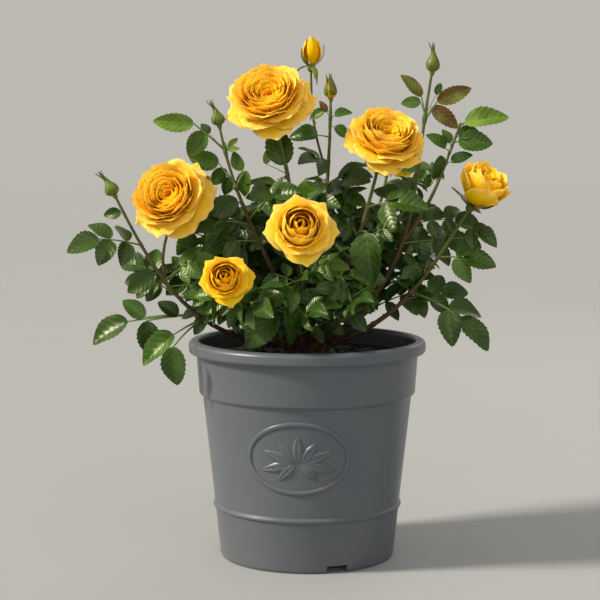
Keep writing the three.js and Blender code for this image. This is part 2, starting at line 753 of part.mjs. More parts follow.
// Adds a solid to a group as a named piece with its own origin at its foot
function addPiece(parent, name, solid, material, foot = new THREE.Vector3()) {
  const mesh = solid.getMesh();
  const geometry = new THREE.BufferGeometry();
  geometry.setAttribute('position', new THREE.BufferAttribute(mesh.vertProperties, 3));
  geometry.setIndex(new THREE.BufferAttribute(mesh.triVerts, 1));
  geometry.translate(-foot.x, -foot.y, -foot.z);
  const piece = new THREE.Mesh(geometry, material);
  piece.name = name;
  piece.position.copy(foot);
  parent.add(piece);
}

function boxesMeet(a, b) {
  return [0, 1, 2].every((i) => a.min[i] < b.max[i] && b.min[i] < a.max[i]);
}

const overlap = (a, b) => a.intersect(b).volume() > 1e-6;

// Whether a solid touches anything that is there already, its own stem apart
function touches(solid, ownStem) {
  const box = solid.boundingBox();
  return obstacles.some((o) => o.solid !== ownStem && boxesMeet(box, o.box) && overlap(solid, o.solid));
}

// A leaf with the leaflets that stand clear of everything and of one another, or nothing where its
// stalk isn't clear of all but the stem that it grows from
function clearLeaf(leaf, stem) {
  if (touches(stalkGuard(leaf, GAP), stem)) return null;
  const kept = [];
  const guards = [];
  for (const leaflet of leaf.leaflets) {
    const guard = bladeGuard(leaflet, GAP);
    if (touches(guard, null) || guards.some((other) => overlap(other, guard))) continue;
    kept.push(leaflet);
    guards.push(guard);
  }
  return kept.length > 0 ? leafSolid(leaf, kept) : null;
}

// Adds a flower or bud fused to its stalk
function addFlower(key, curve, stalk) {
  const bloom = BLOOMS[key];
  const base = curve.getPoint(1);
  const head = bloom ? bloomSolids(bloom, base) : budSolids(BUDS[key], base);
  const material = bloom || key === 'side_tall' ? MATERIALS.petal : MATERIALS.bud;
  const solid = fused([stalk, ...head]);
  addPiece(flowers, (bloom ?? BUDS[key])[0], solid, material, base);
  keepClearOf(solid);
}

const pot = makePot();
const compost = makeCompost();
const stock = makeStock(0);
addPiece(container, 'pot', pot, MATERIALS.pot);
addPiece(container, 'compost', compost, MATERIALS.compost);
addPiece(wood, 'rose_stock', stock, MATERIALS.bark);
[pot, compost, stock].forEach(keepClearOf);
const stockGuard = makeStock(GAP);

// Each cane is three pieces end to end: a bare bough, the stem of its foliage, and its flower's stalk
const curves = {};
const stemGuards = {};
const stems = {};
for (const [name, [footPlace, launch, tip, arrive, radii, bare, flowerFrom]] of Object.entries(CANES)) {
  const [distance, turn, height] = footPlace;
  const foot = heading(turn, 0)
    .multiplyScalar(distance)
    .setZ(SOIL_Z + height);
  const curve = caneCurve(foot, launch, tip, arrive);
  const halfGap = GAP / 2 / curve.getLength();
  const radiusAt = taper(radii);
  const bough = fused([limb(curve, 0, bare - halfGap, radiusAt, 6, 5).subtract(stockGuard)]);
  addPiece(wood, `cane_${name}`, bough, MATERIALS.bark, foot);
  keepClearOf(bough);
  const stemOf = (radius) => limb(curve, bare + halfGap, flowerFrom - halfGap, radius, 5, 4);
  curves[name] = curve;
  stems[name] = stemOf(radiusAt);
  stemGuards[name] = stemOf((share) => radiusAt(share) + 1.3 * GAP);
}
for (const [name, [host, share, launch, tip, arrive, radii]] of Object.entries(FORKS)) {
  curves[name] = caneCurve(curves[host].getPoint(share), launch, tip, arrive);
  stems[name] = fused([limb(curves[name], 0, 1, taper(radii), 5, 5).subtract(stemGuards[host])]);
}
for (const [name, [turn, reach, top]] of Object.entries(LOW_SHOOTS)) {
  const out = heading(turn, 0);
  const foot = out
    .clone()
    .multiplyScalar(LOW_SHOOT.footRadius)
    .setZ(SOIL_Z + LOW_SHOOT.footHeight);
  const tip = out.clone().multiplyScalar(reach).setZ(top);
  curves[name] = caneCurve(foot, [turn, LOW_SHOOT.launchRise], tip, [turn, LOW_SHOOT.arriveRise]);
  stems[name] = fused([limb(curves[name], 0, 1, taper(LOW_SHOOT.radii), 4, 4).subtract(stockGuard)]);
}
Object.values(stems).forEach(keepClearOf);

for (const [name, [, , , , radii, , flowerFrom]] of Object.entries(CANES)) {
  const curve = curves[name];
  const stalkFrom = flowerFrom + GAP / 2 / curve.getLength();
  addFlower(name, curve, limb(curve, stalkFrom, 1, taper(radii), 4, 3));
}
for (const [name, [host, share, launch, tip, arrive, radii]] of Object.entries(SIDE_STALKS)) {
  const curve = caneCurve(curves[host].getPoint(share), launch, tip, arrive);
  const stalk = limb(curve, 0, 1, taper(radii), 4, 3);
  addFlower(name, curve, fused([stalk.subtract(stemGuards[host])]));
}

// The leaves: first those that the outline depends on, then the ones that the rule adds
const masses = Object.keys(stems).map((name, i) => ({
  name,
  curve: curves[name],
  parts: [stems[name]],
  random: seeded(SEED.first + SEED.step * i),
}));

function growLeaf(mass, leaf) {
  const solid = clearLeaf(leaf, mass.parts[0]);
  if (!solid) return;
  keepClearOf(solid);
  mass.parts.push(solid);
}

for (const mass of masses) {
  for (const [share, ...form] of NAMED_LEAVES[mass.name] ?? []) {
    growLeaf(mass, pinnateLeaf(mass.curve.getPoint(share), ...form));
  }
}
for (const mass of masses) {
  const rule = SPIRAL_LEAVES[mass.name] ?? LOW_SPIRAL;
  spiralLeaves(mass.curve, rule, mass.random).forEach((leaf) => growLeaf(mass, leaf));
}
for (const { name, curve, parts } of masses) {
  addPiece(foliage, `foliage_${name}`, fused(parts), MATERIALS.leaf, curve.getPoint(0));
}

export default rose;
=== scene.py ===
"""A patio rose in bloom in a round grey plastic pot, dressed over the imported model.

Sizes are millimetres until a mesh is written, which turns them to metres. +Z is up, the centre of the
pot's underside is on the origin and the side with the medallion faces -Y. Turns are degrees about +Z
from +X, rises degrees above the level.
"""

import logging
from collections.abc import Iterator, Sequence
from dataclasses import dataclass, field
from enum import Enum
from math import pi, radians
from typing import Any

import bpy
import numpy as np
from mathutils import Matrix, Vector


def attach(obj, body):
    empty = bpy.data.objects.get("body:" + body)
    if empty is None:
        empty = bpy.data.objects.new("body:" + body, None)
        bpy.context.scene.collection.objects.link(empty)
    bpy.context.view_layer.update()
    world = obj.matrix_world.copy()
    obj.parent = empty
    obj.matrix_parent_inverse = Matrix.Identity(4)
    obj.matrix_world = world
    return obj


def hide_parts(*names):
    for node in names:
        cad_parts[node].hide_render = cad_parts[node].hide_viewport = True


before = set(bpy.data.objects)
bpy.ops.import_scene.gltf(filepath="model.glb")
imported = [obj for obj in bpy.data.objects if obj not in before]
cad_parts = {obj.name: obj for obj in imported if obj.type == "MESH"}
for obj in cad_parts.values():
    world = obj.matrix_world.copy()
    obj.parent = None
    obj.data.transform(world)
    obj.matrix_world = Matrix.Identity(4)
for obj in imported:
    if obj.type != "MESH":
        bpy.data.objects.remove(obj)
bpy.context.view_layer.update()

log = logging.getLogger("rose")
Array = np.ndarray
Draws = np.random.Generator
Pair = tuple[float, float]
Triple = tuple[float, float, float]
MM = 0.001
UP = np.array([0.0, 0.0, 1.0])
GOLDEN_TURN = 137.5
SOIL_Z = 205.0
# Faces that meet at more degrees than this show an edge
SHARP_ANGLE = 55


# Vectors


def unit(vectors: Array) -> Array:
    """Vectors brought to length one along their last axis."""
    return vectors / np.linalg.norm(vectors, axis=-1, keepdims=True)


def heading(turn: Any, rise: Any) -> Array:
    """Unit vectors with those turns and rises in degrees, which may be arrays."""
    turn, rise = np.broadcast_arrays(np.radians(turn), np.radians(rise))
    return np.stack([np.cos(turn) * np.cos(rise), np.sin(turn) * np.cos(rise), np.sin(rise)], -1)


def turned(x: Any, y: Any, angle: Any) -> tuple[Array, Array]:
    """Level coordinates turned by an angle in radians: (x cos a - y sin a, x sin a + y cos a)."""
    cos, sin = np.cos(angle), np.sin(angle)
    return x * cos - y * sin, x * sin + y * cos


def circle(count: int) -> Array:
    """Angles set evenly round a circle, in radians."""
    return np.linspace(0, 2 * pi, count, endpoint=False)


def spun(vector: Array, axis: Array, degrees: float) -> Array:
    """A vector turned about an axis: v cos a + (k x v) sin a + k (k . v)(1 - cos a).

    Args:
        vector: The vector v.
        axis: The unit axis k.
        degrees: The angle a.

    Returns:
        The turned vector.
    """
    angle = radians(degrees)
    along = axis * np.dot(axis, vector) * (1 - np.cos(angle))
    return vector * np.cos(angle) + np.cross(axis, vector) * np.sin(angle) + along


def smooth(x: Array) -> Array:
    """Zero below 0, one above 1 and 3 x^2 - 2 x^3 between."""
    x = np.clip(x, 0, 1)
    return x * x * (3 - 2 * x)


def cubic(t: Array, a: Array, b: Array, c: Array, d: Array) -> Array:
    """The curve (1-t)^3 a + 3 t (1-t)^2 b + 3 t^2 (1-t) c + t^3 d."""
    return (1 - t) ** 3 * a + 3 * t * (1 - t) ** 2 * b + 3 * t**2 * (1 - t) * c + t**3 * d


def standing(axis: Sequence[float]) -> Array:
    """The turn that carries +Z onto an axis by the shortest way: I + K + K K / (1 + cos).

    Args:
        axis: The axis, of any length.

    Returns:
        A 3 x 3 matrix.
    """
    aim = unit(np.array(axis, float))
    x, y, _ = np.cross(UP, aim)
    skew = np.array([[0, 0, y], [0, 0, -x], [-y, x, 0]])
    return np.eye(3) + skew + skew @ skew / (1 + aim[2])


def seeded(seed: int) -> Iterator[float]:
    """Numbers from 0 to 1, each state 16807 times the last, modulo 2^31 - 1.

    Args:
        seed: The first state.

    Yields:
        The next number.
    """
    multiplier, modulus = 16807, 2147483647
    state = seed
    while True:
        state = state * multiplier % modulus
        yield state / modulus


def ripple(points: Array, pitch: float, seed: int) -> Array:
    """Rounded bumps from about -1 to 1: eight sine waves with seeded ways, added up and divided by 4.

    Args:
        points: Where the bumps are wanted.
        pitch: How far apart they are, about.
        seed: The number that sets the waves.

    Returns:
        The height at each point.
    """
    waves = 8
    rng = np.random.default_rng(seed)
    ways = unit(rng.normal(size=(waves, 3))) * (2 * pi / pitch) * rng.uniform(0.6, 1.5, (waves, 1))
    return np.sin(points @ ways.T + rng.uniform(0, 2 * pi, waves)).sum(-1) / (waves / 2)


# Surfaces


@dataclass
class Surface:
    """Triangles over points in millimetres, with a place on the finish's pattern for each point."""

    points: Array
    triangles: Array
    uv: Array
    finish: Array = field(default_factory=lambda: np.zeros(0, int))

    def __post_init__(self) -> None:
        """Gives every triangle the first finish where none is stated."""
        if len(self.finish) != len(self.triangles):
            self.finish = np.zeros(len(self.triangles), int)

    def moved(self, turn: Array, place: Array) -> "Surface":
        """The surface turned by a 3 x 3 matrix and then moved to a place."""
        return Surface(self.points @ turn.T + place, self.triangles, self.uv, self.finish)


def joined(parts: Sequence[Surface]) -> Surface:
    """Several surfaces as one, their triangles renumbered.

    Args:
        parts: The surfaces.

    Returns:
        The one surface.
    """
    starts = np.cumsum([0] + [len(part.points) for part in parts[:-1]])
    return Surface(
        np.concatenate([part.points for part in parts]),
        np.concatenate([part.triangles + start for part, start in zip(parts, starts)]),
        np.concatenate([part.uv for part in parts]),
        np.concatenate([part.finish for part in parts]),
    )


def repeated(points: Array, triangles: Array, uv: Array, finish: Array | None = None) -> Surface:
    """Many copies of one pattern of triangles as one surface.

    Args:
        points: The copies' points, as copies x points x 3.
        triangles: The pattern's triangles.
        uv: Places on the finish, as copies x points x 2.
        finish: The finish of each of the pattern's triangles.

    Returns:
        The surface of all the copies.
    """
    copies, count = points.shape[:2]
    all_triangles = triangles[None] + (np.arange(copies) * count)[:, None, None]
    all_finish = np.zeros(0, int) if finish is None else np.tile(finish, copies)
    return Surface(points.reshape(-1, 3), all_triangles.reshape(-1, 3), uv.reshape(-1, 2), all_finish)


def grid_triangles(rows: int, columns: int, round_columns: bool = False) -> Array:
    """Two triangles for each cell of a grid, whose points are numbered row by row.

    Args:
        rows: Its rows of points.
        columns: The points in a row.
        round_columns: Whether each row is a ring.

    Returns:
        The triangles.
    """
    across = columns if round_columns else columns - 1
    row, column = np.meshgrid(np.arange(rows - 1), np.arange(across), indexing="ij")
    a = (row * columns + column).ravel()
    b = (row * columns + (column + 1) % columns).ravel()
    return np.concatenate([np.stack([a, b, b + columns], 1), np.stack([a, b + columns, a + columns], 1)])


def ring_triangles(rows: int, sides: int) -> Array:
    """Rings joined to a round body, closed at each end by a fan about one more point. Those two points
    come after the rings' own, the first ring's before the last's.

    Args:
        rows: How many rings.
        sides: The points in a ring.

    Returns:
        The triangles.
    """
    this = np.arange(sides)
    following = (this + 1) % sides
    top, first = (rows - 1) * sides, rows * sides
    foot = np.stack([following, this, np.full(sides, first)], 1)
    head = np.stack([top + this, top + following, np.full(sides, first + 1)], 1)
    return np.concatenate([grid_triangles(rows, sides, True), foot, head])


def lathe(profile: Array, sides: int) -> Surface:
    """A turned surface: one point at each pole, and at turn a the point (r cos a, r sin a, z) for each
    row between.

    Args:
        profile: Rows of radius and height, which start and end on the axis.
        sides: The points in a ring.

    Returns:
        The surface, its pattern's second coordinate the height.
    """
    angle = circle(sides)
    radius, height = profile[1:-1, :1], profile[1:-1, 1:]
    ring = np.stack([radius * np.cos(angle), radius * np.sin(angle), height + 0 * angle], -1)
    poles = np.array([[0, 0, profile[0, 1]], [0, 0, profile[-1, 1]]])
    points = np.concatenate([ring.reshape(-1, 3), poles])
    uv = np.stack([np.zeros(len(points)), points[:, 2]], 1)
    return Surface(points, ring_triangles(len(profile) - 2, sides), uv)


def tubes(paths: Array, radii: Array, sides: int, shares: Array) -> Surface:
    """Round tubes along many paths at once, closed at both ends. Each ring is path + r (cos a * across
    + sin a * over): across is square to the path and to one level line, and over to both.

    Args:
        paths: The middle lines, as tubes x steps x 3.
        radii: The radius at each step, as tubes x steps.
        sides: How many sides a ring has.
        shares: The second pattern coordinate at each step, as tubes x steps.

    Returns:
        The tubes as one surface.
    """
    count, steps = paths.shape[:2]
    along = unit(np.gradient(paths, axis=1))
    chord = paths[:, -1] - paths[:, 0]
    level = np.stack([-chord[:, 1], chord[:, 0], np.full(count, 1e-4)], -1)
    level[np.hypot(chord[:, 0], chord[:, 1]) < 1e-3] = [1.0, 0.0, 0.0]
    across = unit(np.cross(level[:, None], along))
    over = np.cross(along, across)
    angle = circle(sides)
    cos, sin = np.cos(angle)[:, None], np.sin(angle)[:, None]
    spokes = cos * across[:, :, None] + sin * over[:, :, None]
    rings = paths[:, :, None] + radii[:, :, None, None] * spokes
    points = np.concatenate([rings.reshape(count, -1, 3), paths[:, :1], paths[:, -1:]], 1)
    uv = np.zeros((count, steps * sides + 2, 2))
    uv[:, :-2, 0] = np.tile(angle / (2 * pi), steps)
    uv[:, :-2, 1] = np.repeat(shares, sides, axis=1)
    uv[:, -2:, 1] = shares[:, [0, -1]]
    return repeated(points, ring_triangles(steps, sides), uv)


def blade_pattern(rows: int, columns: int) -> tuple[Array, Array]:
    """The triangles of a thin closed blade. The front is a grid. The back repeats it turned round, and
    shares the points of its rim.

    Args:
        rows: The grid's rows, from foot to tip.
        columns: Its columns, from side to side.

    Returns:
        The triangles, and the front's numbers of the points that the back doubles.
    """
    front = grid_triangles(rows, columns)
    number = np.arange(rows * columns).reshape(rows, columns)
    doubled = number[1:-1, 1:-1].ravel()
    back_of = np.arange(rows * columns)
    back_of[doubled] = rows * columns + np.arange(len(doubled))
    return np.concatenate([front, back_of[front][:, ::-1]]), doubled


def in_scene(name: str, data: Any) -> Any:
    """A new object of the scene.

    Args:
        name: Its name.
        data: The mesh, light or camera that it shows.

    Returns:
        The object.
    """
    made = bpy.data.objects.new(name, data)
    bpy.context.scene.collection.objects.link(made)
    return made


def make_piece(name: str, surface: Surface, materials: Sequence, nodes: Sequence[str]) -> Any:
    """Writes a surface as a piece of the model, which rides on the part's one body.

    Args:
        name: The piece's name.
        surface: Its surface, in millimetres.
        materials: Its materials, in the order of the surface's finishes.
        nodes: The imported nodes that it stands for.

    Returns:
        The object.
    """
    mesh = bpy.data.meshes.new(name)
    count = len(surface.triangles)
    corners = surface.triangles.astype(np.int32).ravel()
    mesh.vertices.add(len(surface.points))
    mesh.vertices.foreach_set("co", (surface.points * MM).astype(np.float32).ravel())
    mesh.loops.add(3 * count)
    mesh.loops.foreach_set("vertex_index", corners)
    mesh.polygons.add(count)
    mesh.polygons.foreach_set("loop_start", np.arange(0, 3 * count, 3, dtype=np.int32))
    mesh.polygons.foreach_set("material_index", surface.finish.astype(np.int32))
    mesh.update(calc_edges=True)
    layer = mesh.uv_layers.new(name="lay")
    layer.data.foreach_set("uv", surface.uv[corners].astype(np.float32).ravel())
    mesh.shade_smooth()
    mesh.set_sharp_from_angle(angle=radians(SHARP_ANGLE))
    for material in materials:
        mesh.materials.append(material)
    made = in_scene(name, mesh)
    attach(made, "root")
    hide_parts(*nodes)
    log.info("%s: %d triangles", name, count)
    return made


# Finishes


def linear(colour: str) -> tuple[float, float, float, float]:
    """An sRGB hex colour as linear red, green, blue and 1: c / 12.92 where it is nearly black, and
    otherwise ((c + 0.055) / 1.055)^2.4.

    Args:
        colour: The colour, as # and six digits.

    Returns:
        The linear colour.
    """
    parts = [int(colour[i : i + 2], 16) / 255 for i in (1, 3, 5)]
    red, green, blue = (c / 12.92 if c <= 0.04045 else ((c + 0.055) / 1.055) ** 2.4 for c in parts)
    return red, green, blue, 1.0


def per_metre(size: float) -> float:
    """The scale of a pattern whose features are so many millimetres across."""
    return 1 / (size * MM)


def feed(tree: Any, node: Any, inputs: dict) -> None:
    """Links or sets a node's inputs.

    Args:
        tree: The node tree.
        node: The node.
        inputs: For each input, by name or number, the socket it is linked to or its value.
    """
    for place, source in inputs.items():
        if isinstance(source, bpy.types.NodeSocket):
            tree.links.new(source, node.inputs[place])
        else:
            node.inputs[place].default_value = source


def add_node(
    tree: Any,
    kind: str,
    inputs: dict | None = None,
    stops: Sequence = (),
    out: int | str = 0,
    **settings: Any,
) -> Any:
    """Adds a node to a tree.

    Args:
        tree: The node tree.
        kind: The node's type, without the ShaderNode that all of them begin with.
        inputs: Its inputs, as feed takes them.
        stops: The places and colours of a colour ramp.
        out: The name or number of the output that is wanted.
        settings: The node's other settings.

    Returns:
        The output.
    """
    made = tree.nodes.new(f"ShaderNode{kind}")
    for name, value in settings.items():
        setattr(made, name, value)
    feed(tree, made, inputs or {})
    for i, (place, colour) in enumerate(stops):
        element = made.color_ramp.elements[i] if i < 2 else made.color_ramp.elements.new(place)
        element.position = place
        element.color = linear(colour)
    return made.outputs[out]


# A Mix of colours: its share is input 0, its two colours are inputs 6 and 7
COLOURS = {"data_type": "RGBA", "out": 2}


@dataclass(frozen=True)
class Finish:
    """A surface finish: its name, its roughness and its shine, and how its pattern is drawn. A shine
    of a half is the usual 4 parts in a hundred that a waxy or plastic face throws back."""

    name: str
    roughness: float = 0.5
    shine: float = 0.5

    def material(self) -> Any:
        """The finish as a material with a principled shader.

        Returns:
            The material.
        """
        made = bpy.data.materials.new(self.name)
        made.use_nodes = True
        tree = made.node_tree
        shader = next(node for node in tree.nodes if node.type == "BSDF_PRINCIPLED")
        shader.subsurface_method = "BURLEY"
        feed(tree, shader, {"Roughness": self.roughness, "Specular IOR Level": self.shine})
        feed(tree, shader, self.drawn(tree))
        return made

    def drawn(self, tree: Any) -> dict:
        """The pattern, as the socket or value for each of the shader's inputs that it sets."""
        raise NotImplementedError


@dataclass(frozen=True)
class MouldedPolypropylene(Finish):
    """Satin grey moulded polypropylene: an even soft sheen, a faint cloud in the colour where the melt
    flowed, a fine leathery grain from the mould and a little dust low down."""

    base: str = "#565d65"
    cloud: str = "#5e6368"
    dust: str = "#6c6b68"
    cloud_size: float = 60.0
    dust_height: float = 45.0
    speck_size: float = 3.85
    grain_size: float = 0.9  # the mould's grain is about 0.3 mm, drawn coarser so that it shows
    gloss_range: float = 0.05

    def drawn(self, tree: Any) -> dict:
        """Clouds and dust mix the colour, and the grain varies the gloss and lifts the surface.

        Args:
            tree: The material's node tree.

        Returns:
            The colour, gloss and relief.
        """
        place = add_node(tree, "TexCoord", out="Object")
        cloud = add_node(tree, "TexNoise", {"Vector": place, "Scale": per_metre(self.cloud_size)})
        plain = add_node(tree, "Mix", {0: cloud, 6: linear(self.base), 7: linear(self.cloud)}, **COLOURS)
        height = add_node(tree, "SeparateXYZ", {0: place}, out="Z")
        low = add_node(tree, "MapRange", {0: height, 1: self.dust_height * MM, 2: 0.0, 3: 0.0, 4: 0.4})
        fine = {"Vector": place, "Scale": per_metre(self.speck_size), "Detail": 3.0}
        speck = add_node(tree, "TexNoise", fine)
        dusty = add_node(tree, "Math", {0: low, 1: speck}, operation="MULTIPLY")
        colour = add_node(tree, "Mix", {0: dusty, 6: plain, 7: linear(self.dust)}, **COLOURS)
        leather = {"Vector": place, "Scale": per_metre(self.grain_size), "Detail": 2.0}
        grain = add_node(tree, "TexNoise", leather)
        least, most = self.roughness - self.gloss_range, self.roughness + self.gloss_range
        gloss = add_node(tree, "MapRange", {0: cloud, 1: 0.3, 2: 0.7, 3: least, 4: most})
        bump = add_node(tree, "Bump", {"Height": grain, "Strength": 0.12, "Distance": 0.2 * MM})
        return {"Base Color": colour, "Roughness": gloss, "Normal": bump}


@dataclass(frozen=True)
class Peat(Finish):
    """Moist peat compost: nearly black brown crumbs with paler fibres, matt with a damp glint."""

    dark: str = "#140e0a"
    mid: str = "#2a1d13"
    fibre: str = "#4c3822"
    crumb_size: float = 3.0
    fibre_size: float = 1.2

    def drawn(self, tree: Any) -> dict:
        """Cells make the crumbs, fine noise the fibres, and both lift the surface.

        Args:
            tree: The material's node tree.

        Returns:
            The colour and relief.
        """
        place = add_node(tree, "TexCoord", out="Object")
        crumb = add_node(tree, "TexVoronoi", {"Vector": place, "Scale": per_metre(self.crumb_size)})
        threads = {"Vector": place, "Scale": per_metre(self.fibre_size), "Detail": 5.0, "Roughness": 0.7}
        fibre = add_node(tree, "TexNoise", threads)
        stops = [(0.35, self.dark), (0.6, self.mid), (0.78, self.fibre)]
        colour = add_node(tree, "ValToRGB", {0: fibre}, stops)
        relief = add_node(tree, "Math", {0: fibre, 1: crumb}, operation="SUBTRACT")
        bump = add_node(tree, "Bump", {"Height": relief, "Strength": 0.9, "Distance": 1.5 * MM})
        return {"Base Color": colour, "Normal": bump}


@dataclass(frozen=True)
class Cane(Finish):
    """Rose wood: smooth olive bark with brown cork streaks along it, older and browner to one end of
    the pattern's second coordinate and greener to the other."""

    old: str = "#452c17"
    middle: str = "#57431c"
    young: str = "#4f6420"
    streak: str = "#6e4a2a"
    streak_width: float = 1.3
    streak_length: float = 6.0  # times the width

    def drawn(self, tree: Any) -> dict:
        """The age sets the colour, and noise drawn out along the height streaks and lifts it.

        Args:
            tree: The material's node tree.

        Returns:
            The colour and relief.
        """
        lay = add_node(tree, "TexCoord", out="UV")
        age = add_node(tree, "SeparateXYZ", {0: lay}, out="Y")
        stops = [(0.1, self.old), (0.46, self.middle), (0.86, self.young)]
        bark = add_node(tree, "ValToRGB", {0: age}, stops)
        scale = per_metre(self.streak_width)
        stretch = (scale, scale, scale / self.streak_length)
        place = lay.node.outputs["Object"]
        drawn_out = add_node(tree, "Mapping", {"Vector": place, "Scale": stretch})
        cork = add_node(tree, "TexNoise", {"Vector": drawn_out, "Scale": 1.0, "Detail": 4.0})
        share = add_node(tree, "MapRange", {0: cork, 1: 0.5, 2: 0.75, 3: 0.0, 4: 0.55})
        colour = add_node(tree, "Mix", {0: share, 6: bark, 7: linear(self.streak)}, **COLOURS)
        bump = add_node(tree, "Bump", {"Height": cork, "Strength": 0.5, "Distance": 0.6 * MM})
        return {"Base Color": colour, "Normal": bump}


@dataclass(frozen=True)
class LeafSkin(Finish):
    """A rose leaf: waxy and glossy above, the green quilted between paler veins. The pattern runs from
    side to side in its first coordinate and from foot to tip in its second."""

    blade: str = "#22421a"
    vein: str = "#4d6b35"
    vein_pairs: float = 6.0
    vein_rise: float = 0.62
    vein_share: float = 0.6
    quilt: float = 0.36
    wax: str = "#eef2cf"
    mottle: float = 0.3
    mottle_size: float = 22.2
    net_size: float = 2.38

    def drawn(self, tree: Any) -> dict:
        """A midrib at the middle line and slanting side veins: a vein is where the second coordinate
        less the distance from the middle, times the number of pairs, is near a whole number.

        Args:
            tree: The material's node tree.

        Returns:
            The colour, relief and tint of the gloss.
        """
        lay = add_node(tree, "TexCoord", out="UV")
        place = lay.node.outputs["Object"]
        across = add_node(tree, "SeparateXYZ", {0: lay})
        along = across.node.outputs["Y"]
        centred = add_node(tree, "Math", {0: across, 1: 0.5}, operation="SUBTRACT")
        aside = add_node(tree, "Math", {0: centred}, operation="ABSOLUTE")
        slanting = {0: aside, 1: -self.vein_rise, 2: along}
        slant = add_node(tree, "Math", slanting, operation="MULTIPLY_ADD")
        phase = add_node(tree, "Math", {0: slant, 1: self.vein_pairs}, operation="MULTIPLY")
        near = add_node(tree, "Math", {0: phase, 1: 0.5}, operation="PINGPONG")
        side = add_node(tree, "MapRange", {0: near, 1: 0.0, 2: 0.1, 3: 1.0, 4: 0.0})
        rib = add_node(tree, "MapRange", {0: aside, 1: 0.0, 2: 0.035, 3: 1.0, 4: 0.0})
        veins = add_node(tree, "Math", {0: side, 1: rib}, operation="MAXIMUM")
        patches = {"Vector": place, "Scale": per_metre(self.mottle_size), "Detail": 3.0}
        cloud = add_node(tree, "TexNoise", patches)
        tone = add_node(tree, "MapRange", {0: cloud, 1: 0.4, 2: 0.62, 3: 0.0, 4: self.mottle})
        blade = add_node(tree, "Mix", {0: tone, 6: linear(self.blade), 7: linear(self.vein)}, **COLOURS)
        share = add_node(tree, "Math", {0: veins, 1: self.vein_share}, operation="MULTIPLY")
        colour = add_node(tree, "Mix", {0: share, 6: blade, 7: linear(self.vein)}, **COLOURS)
        netted = {"Vector": place, "Scale": per_metre(self.net_size), "Detail": 2.0}
        net = add_node(tree, "TexNoise", netted)
        relief = add_node(tree, "Math", {0: net, 1: 0.5, 2: near}, operation="MULTIPLY_ADD")
        bump = add_node(tree, "Bump", {"Height": relief, "Strength": self.quilt, "Distance": 1 * MM})
        return {"Base Color": colour, "Normal": bump, "Specular Tint": linear(self.wax)}


@dataclass(frozen=True)
class PetalSkin(Finish):
    """A yellow rose petal: velvety and slightly translucent, pale along its rim, deeper towards its
    foot and towards the flower's heart. The pale rim is partly the petal's own paler edge and partly a
    painted highlight where the rims catch the light. The pattern's first coordinate runs from foot to
    rim and its second from the heart to the outermost petals."""

    heart: str = "#ee9c00"
    foot: str = "#fbc400"
    body: str = "#f9d20a"
    rim: str = "#f7cd42"
    # The colour at the very rim: partly the petal's own paler edge, partly a painted highlight
    pale_rim_and_highlight: str = "#f5cf72"
    glow: float = 0.5
    glow_depth: float = 2.5
    glow_colour: Triple = (1.0, 0.82, 0.12)
    crinkle_size: float = 11.1

    def drawn(self, tree: Any) -> dict:
        """The colours run from foot to rim, and mix from the heart's to the outer petals'.

        Args:
            tree: The material's node tree.

        Returns:
            The colour, relief and glow.
        """
        lay = add_node(tree, "TexCoord", out="UV")
        along = add_node(tree, "SeparateXYZ", {0: lay})
        depth = along.node.outputs["Y"]
        # Both ramps end in the pale rim colour, partly the petal's own edge and partly a painted
        # highlight
        stops = [(0.6, self.heart), (0.9, self.foot), (0.97, self.body), (1.0, self.pale_rim_and_highlight)]
        inner = add_node(tree, "ValToRGB", {0: along}, stops)
        stops = [(0.2, self.foot), (0.6, self.body), (0.88, self.rim), (1.0, self.pale_rim_and_highlight)]
        outer = add_node(tree, "ValToRGB", {0: along}, stops)
        spread = add_node(tree, "MapRange", {0: depth, 1: 0.1, 2: 0.85})
        colour = add_node(tree, "Mix", {0: spread, 6: inner, 7: outer}, **COLOURS)
        place = lay.node.outputs["Object"]
        crinkles = {"Vector": place, "Scale": per_metre(self.crinkle_size), "Detail": 3.0}
        crinkle = add_node(tree, "TexNoise", crinkles)
        bump = add_node(tree, "Bump", {"Height": crinkle, "Strength": 0.25, "Distance": 1 * MM})
        return {
            "Base Color": colour,
            "Normal": bump,
            "Specular Tint": linear(self.body),
            "Subsurface Weight": self.glow,
            "Subsurface Radius": self.glow_colour,
            "Subsurface Scale": self.glow_depth * MM,
        }


@dataclass(frozen=True)
class GreenSkin(Finish):
    """Young green stalks, sepals and buds: smooth with a light bloom, mottled, the sepals' own edges
    and points faintly red."""

    base: str = "#485c12"
    pale: str = "#748836"
    blush: str = "#6e4a26"
    mottle_size: float = 4.17

    def drawn(self, tree: Any) -> dict:
        """Noise mottles the green, and the blush grows with the pattern's first coordinate.

        Args:
            tree: The material's node tree.

        Returns:
            The colour and relief.
        """
        lay = add_node(tree, "TexCoord", out="UV")
        along = add_node(tree, "SeparateXYZ", {0: lay})
        place = lay.node.outputs["Object"]
        patches = {"Vector": place, "Scale": per_metre(self.mottle_size), "Detail": 4.0}
        cloud = add_node(tree, "TexNoise", patches)
        green = add_node(tree, "Mix", {0: cloud, 6: linear(self.base), 7: linear(self.pale)}, **COLOURS)
        share = add_node(tree, "MapRange", {0: along, 1: 0.55, 2: 1.0, 3: 0.0, 4: 0.6})
        colour = add_node(tree, "Mix", {0: share, 6: green, 7: linear(self.blush)}, **COLOURS)
        bump = add_node(tree, "Bump", {"Height": cloud, "Strength": 0.2, "Distance": 0.4 * MM})
        return {"Base Color": colour, "Normal": bump}


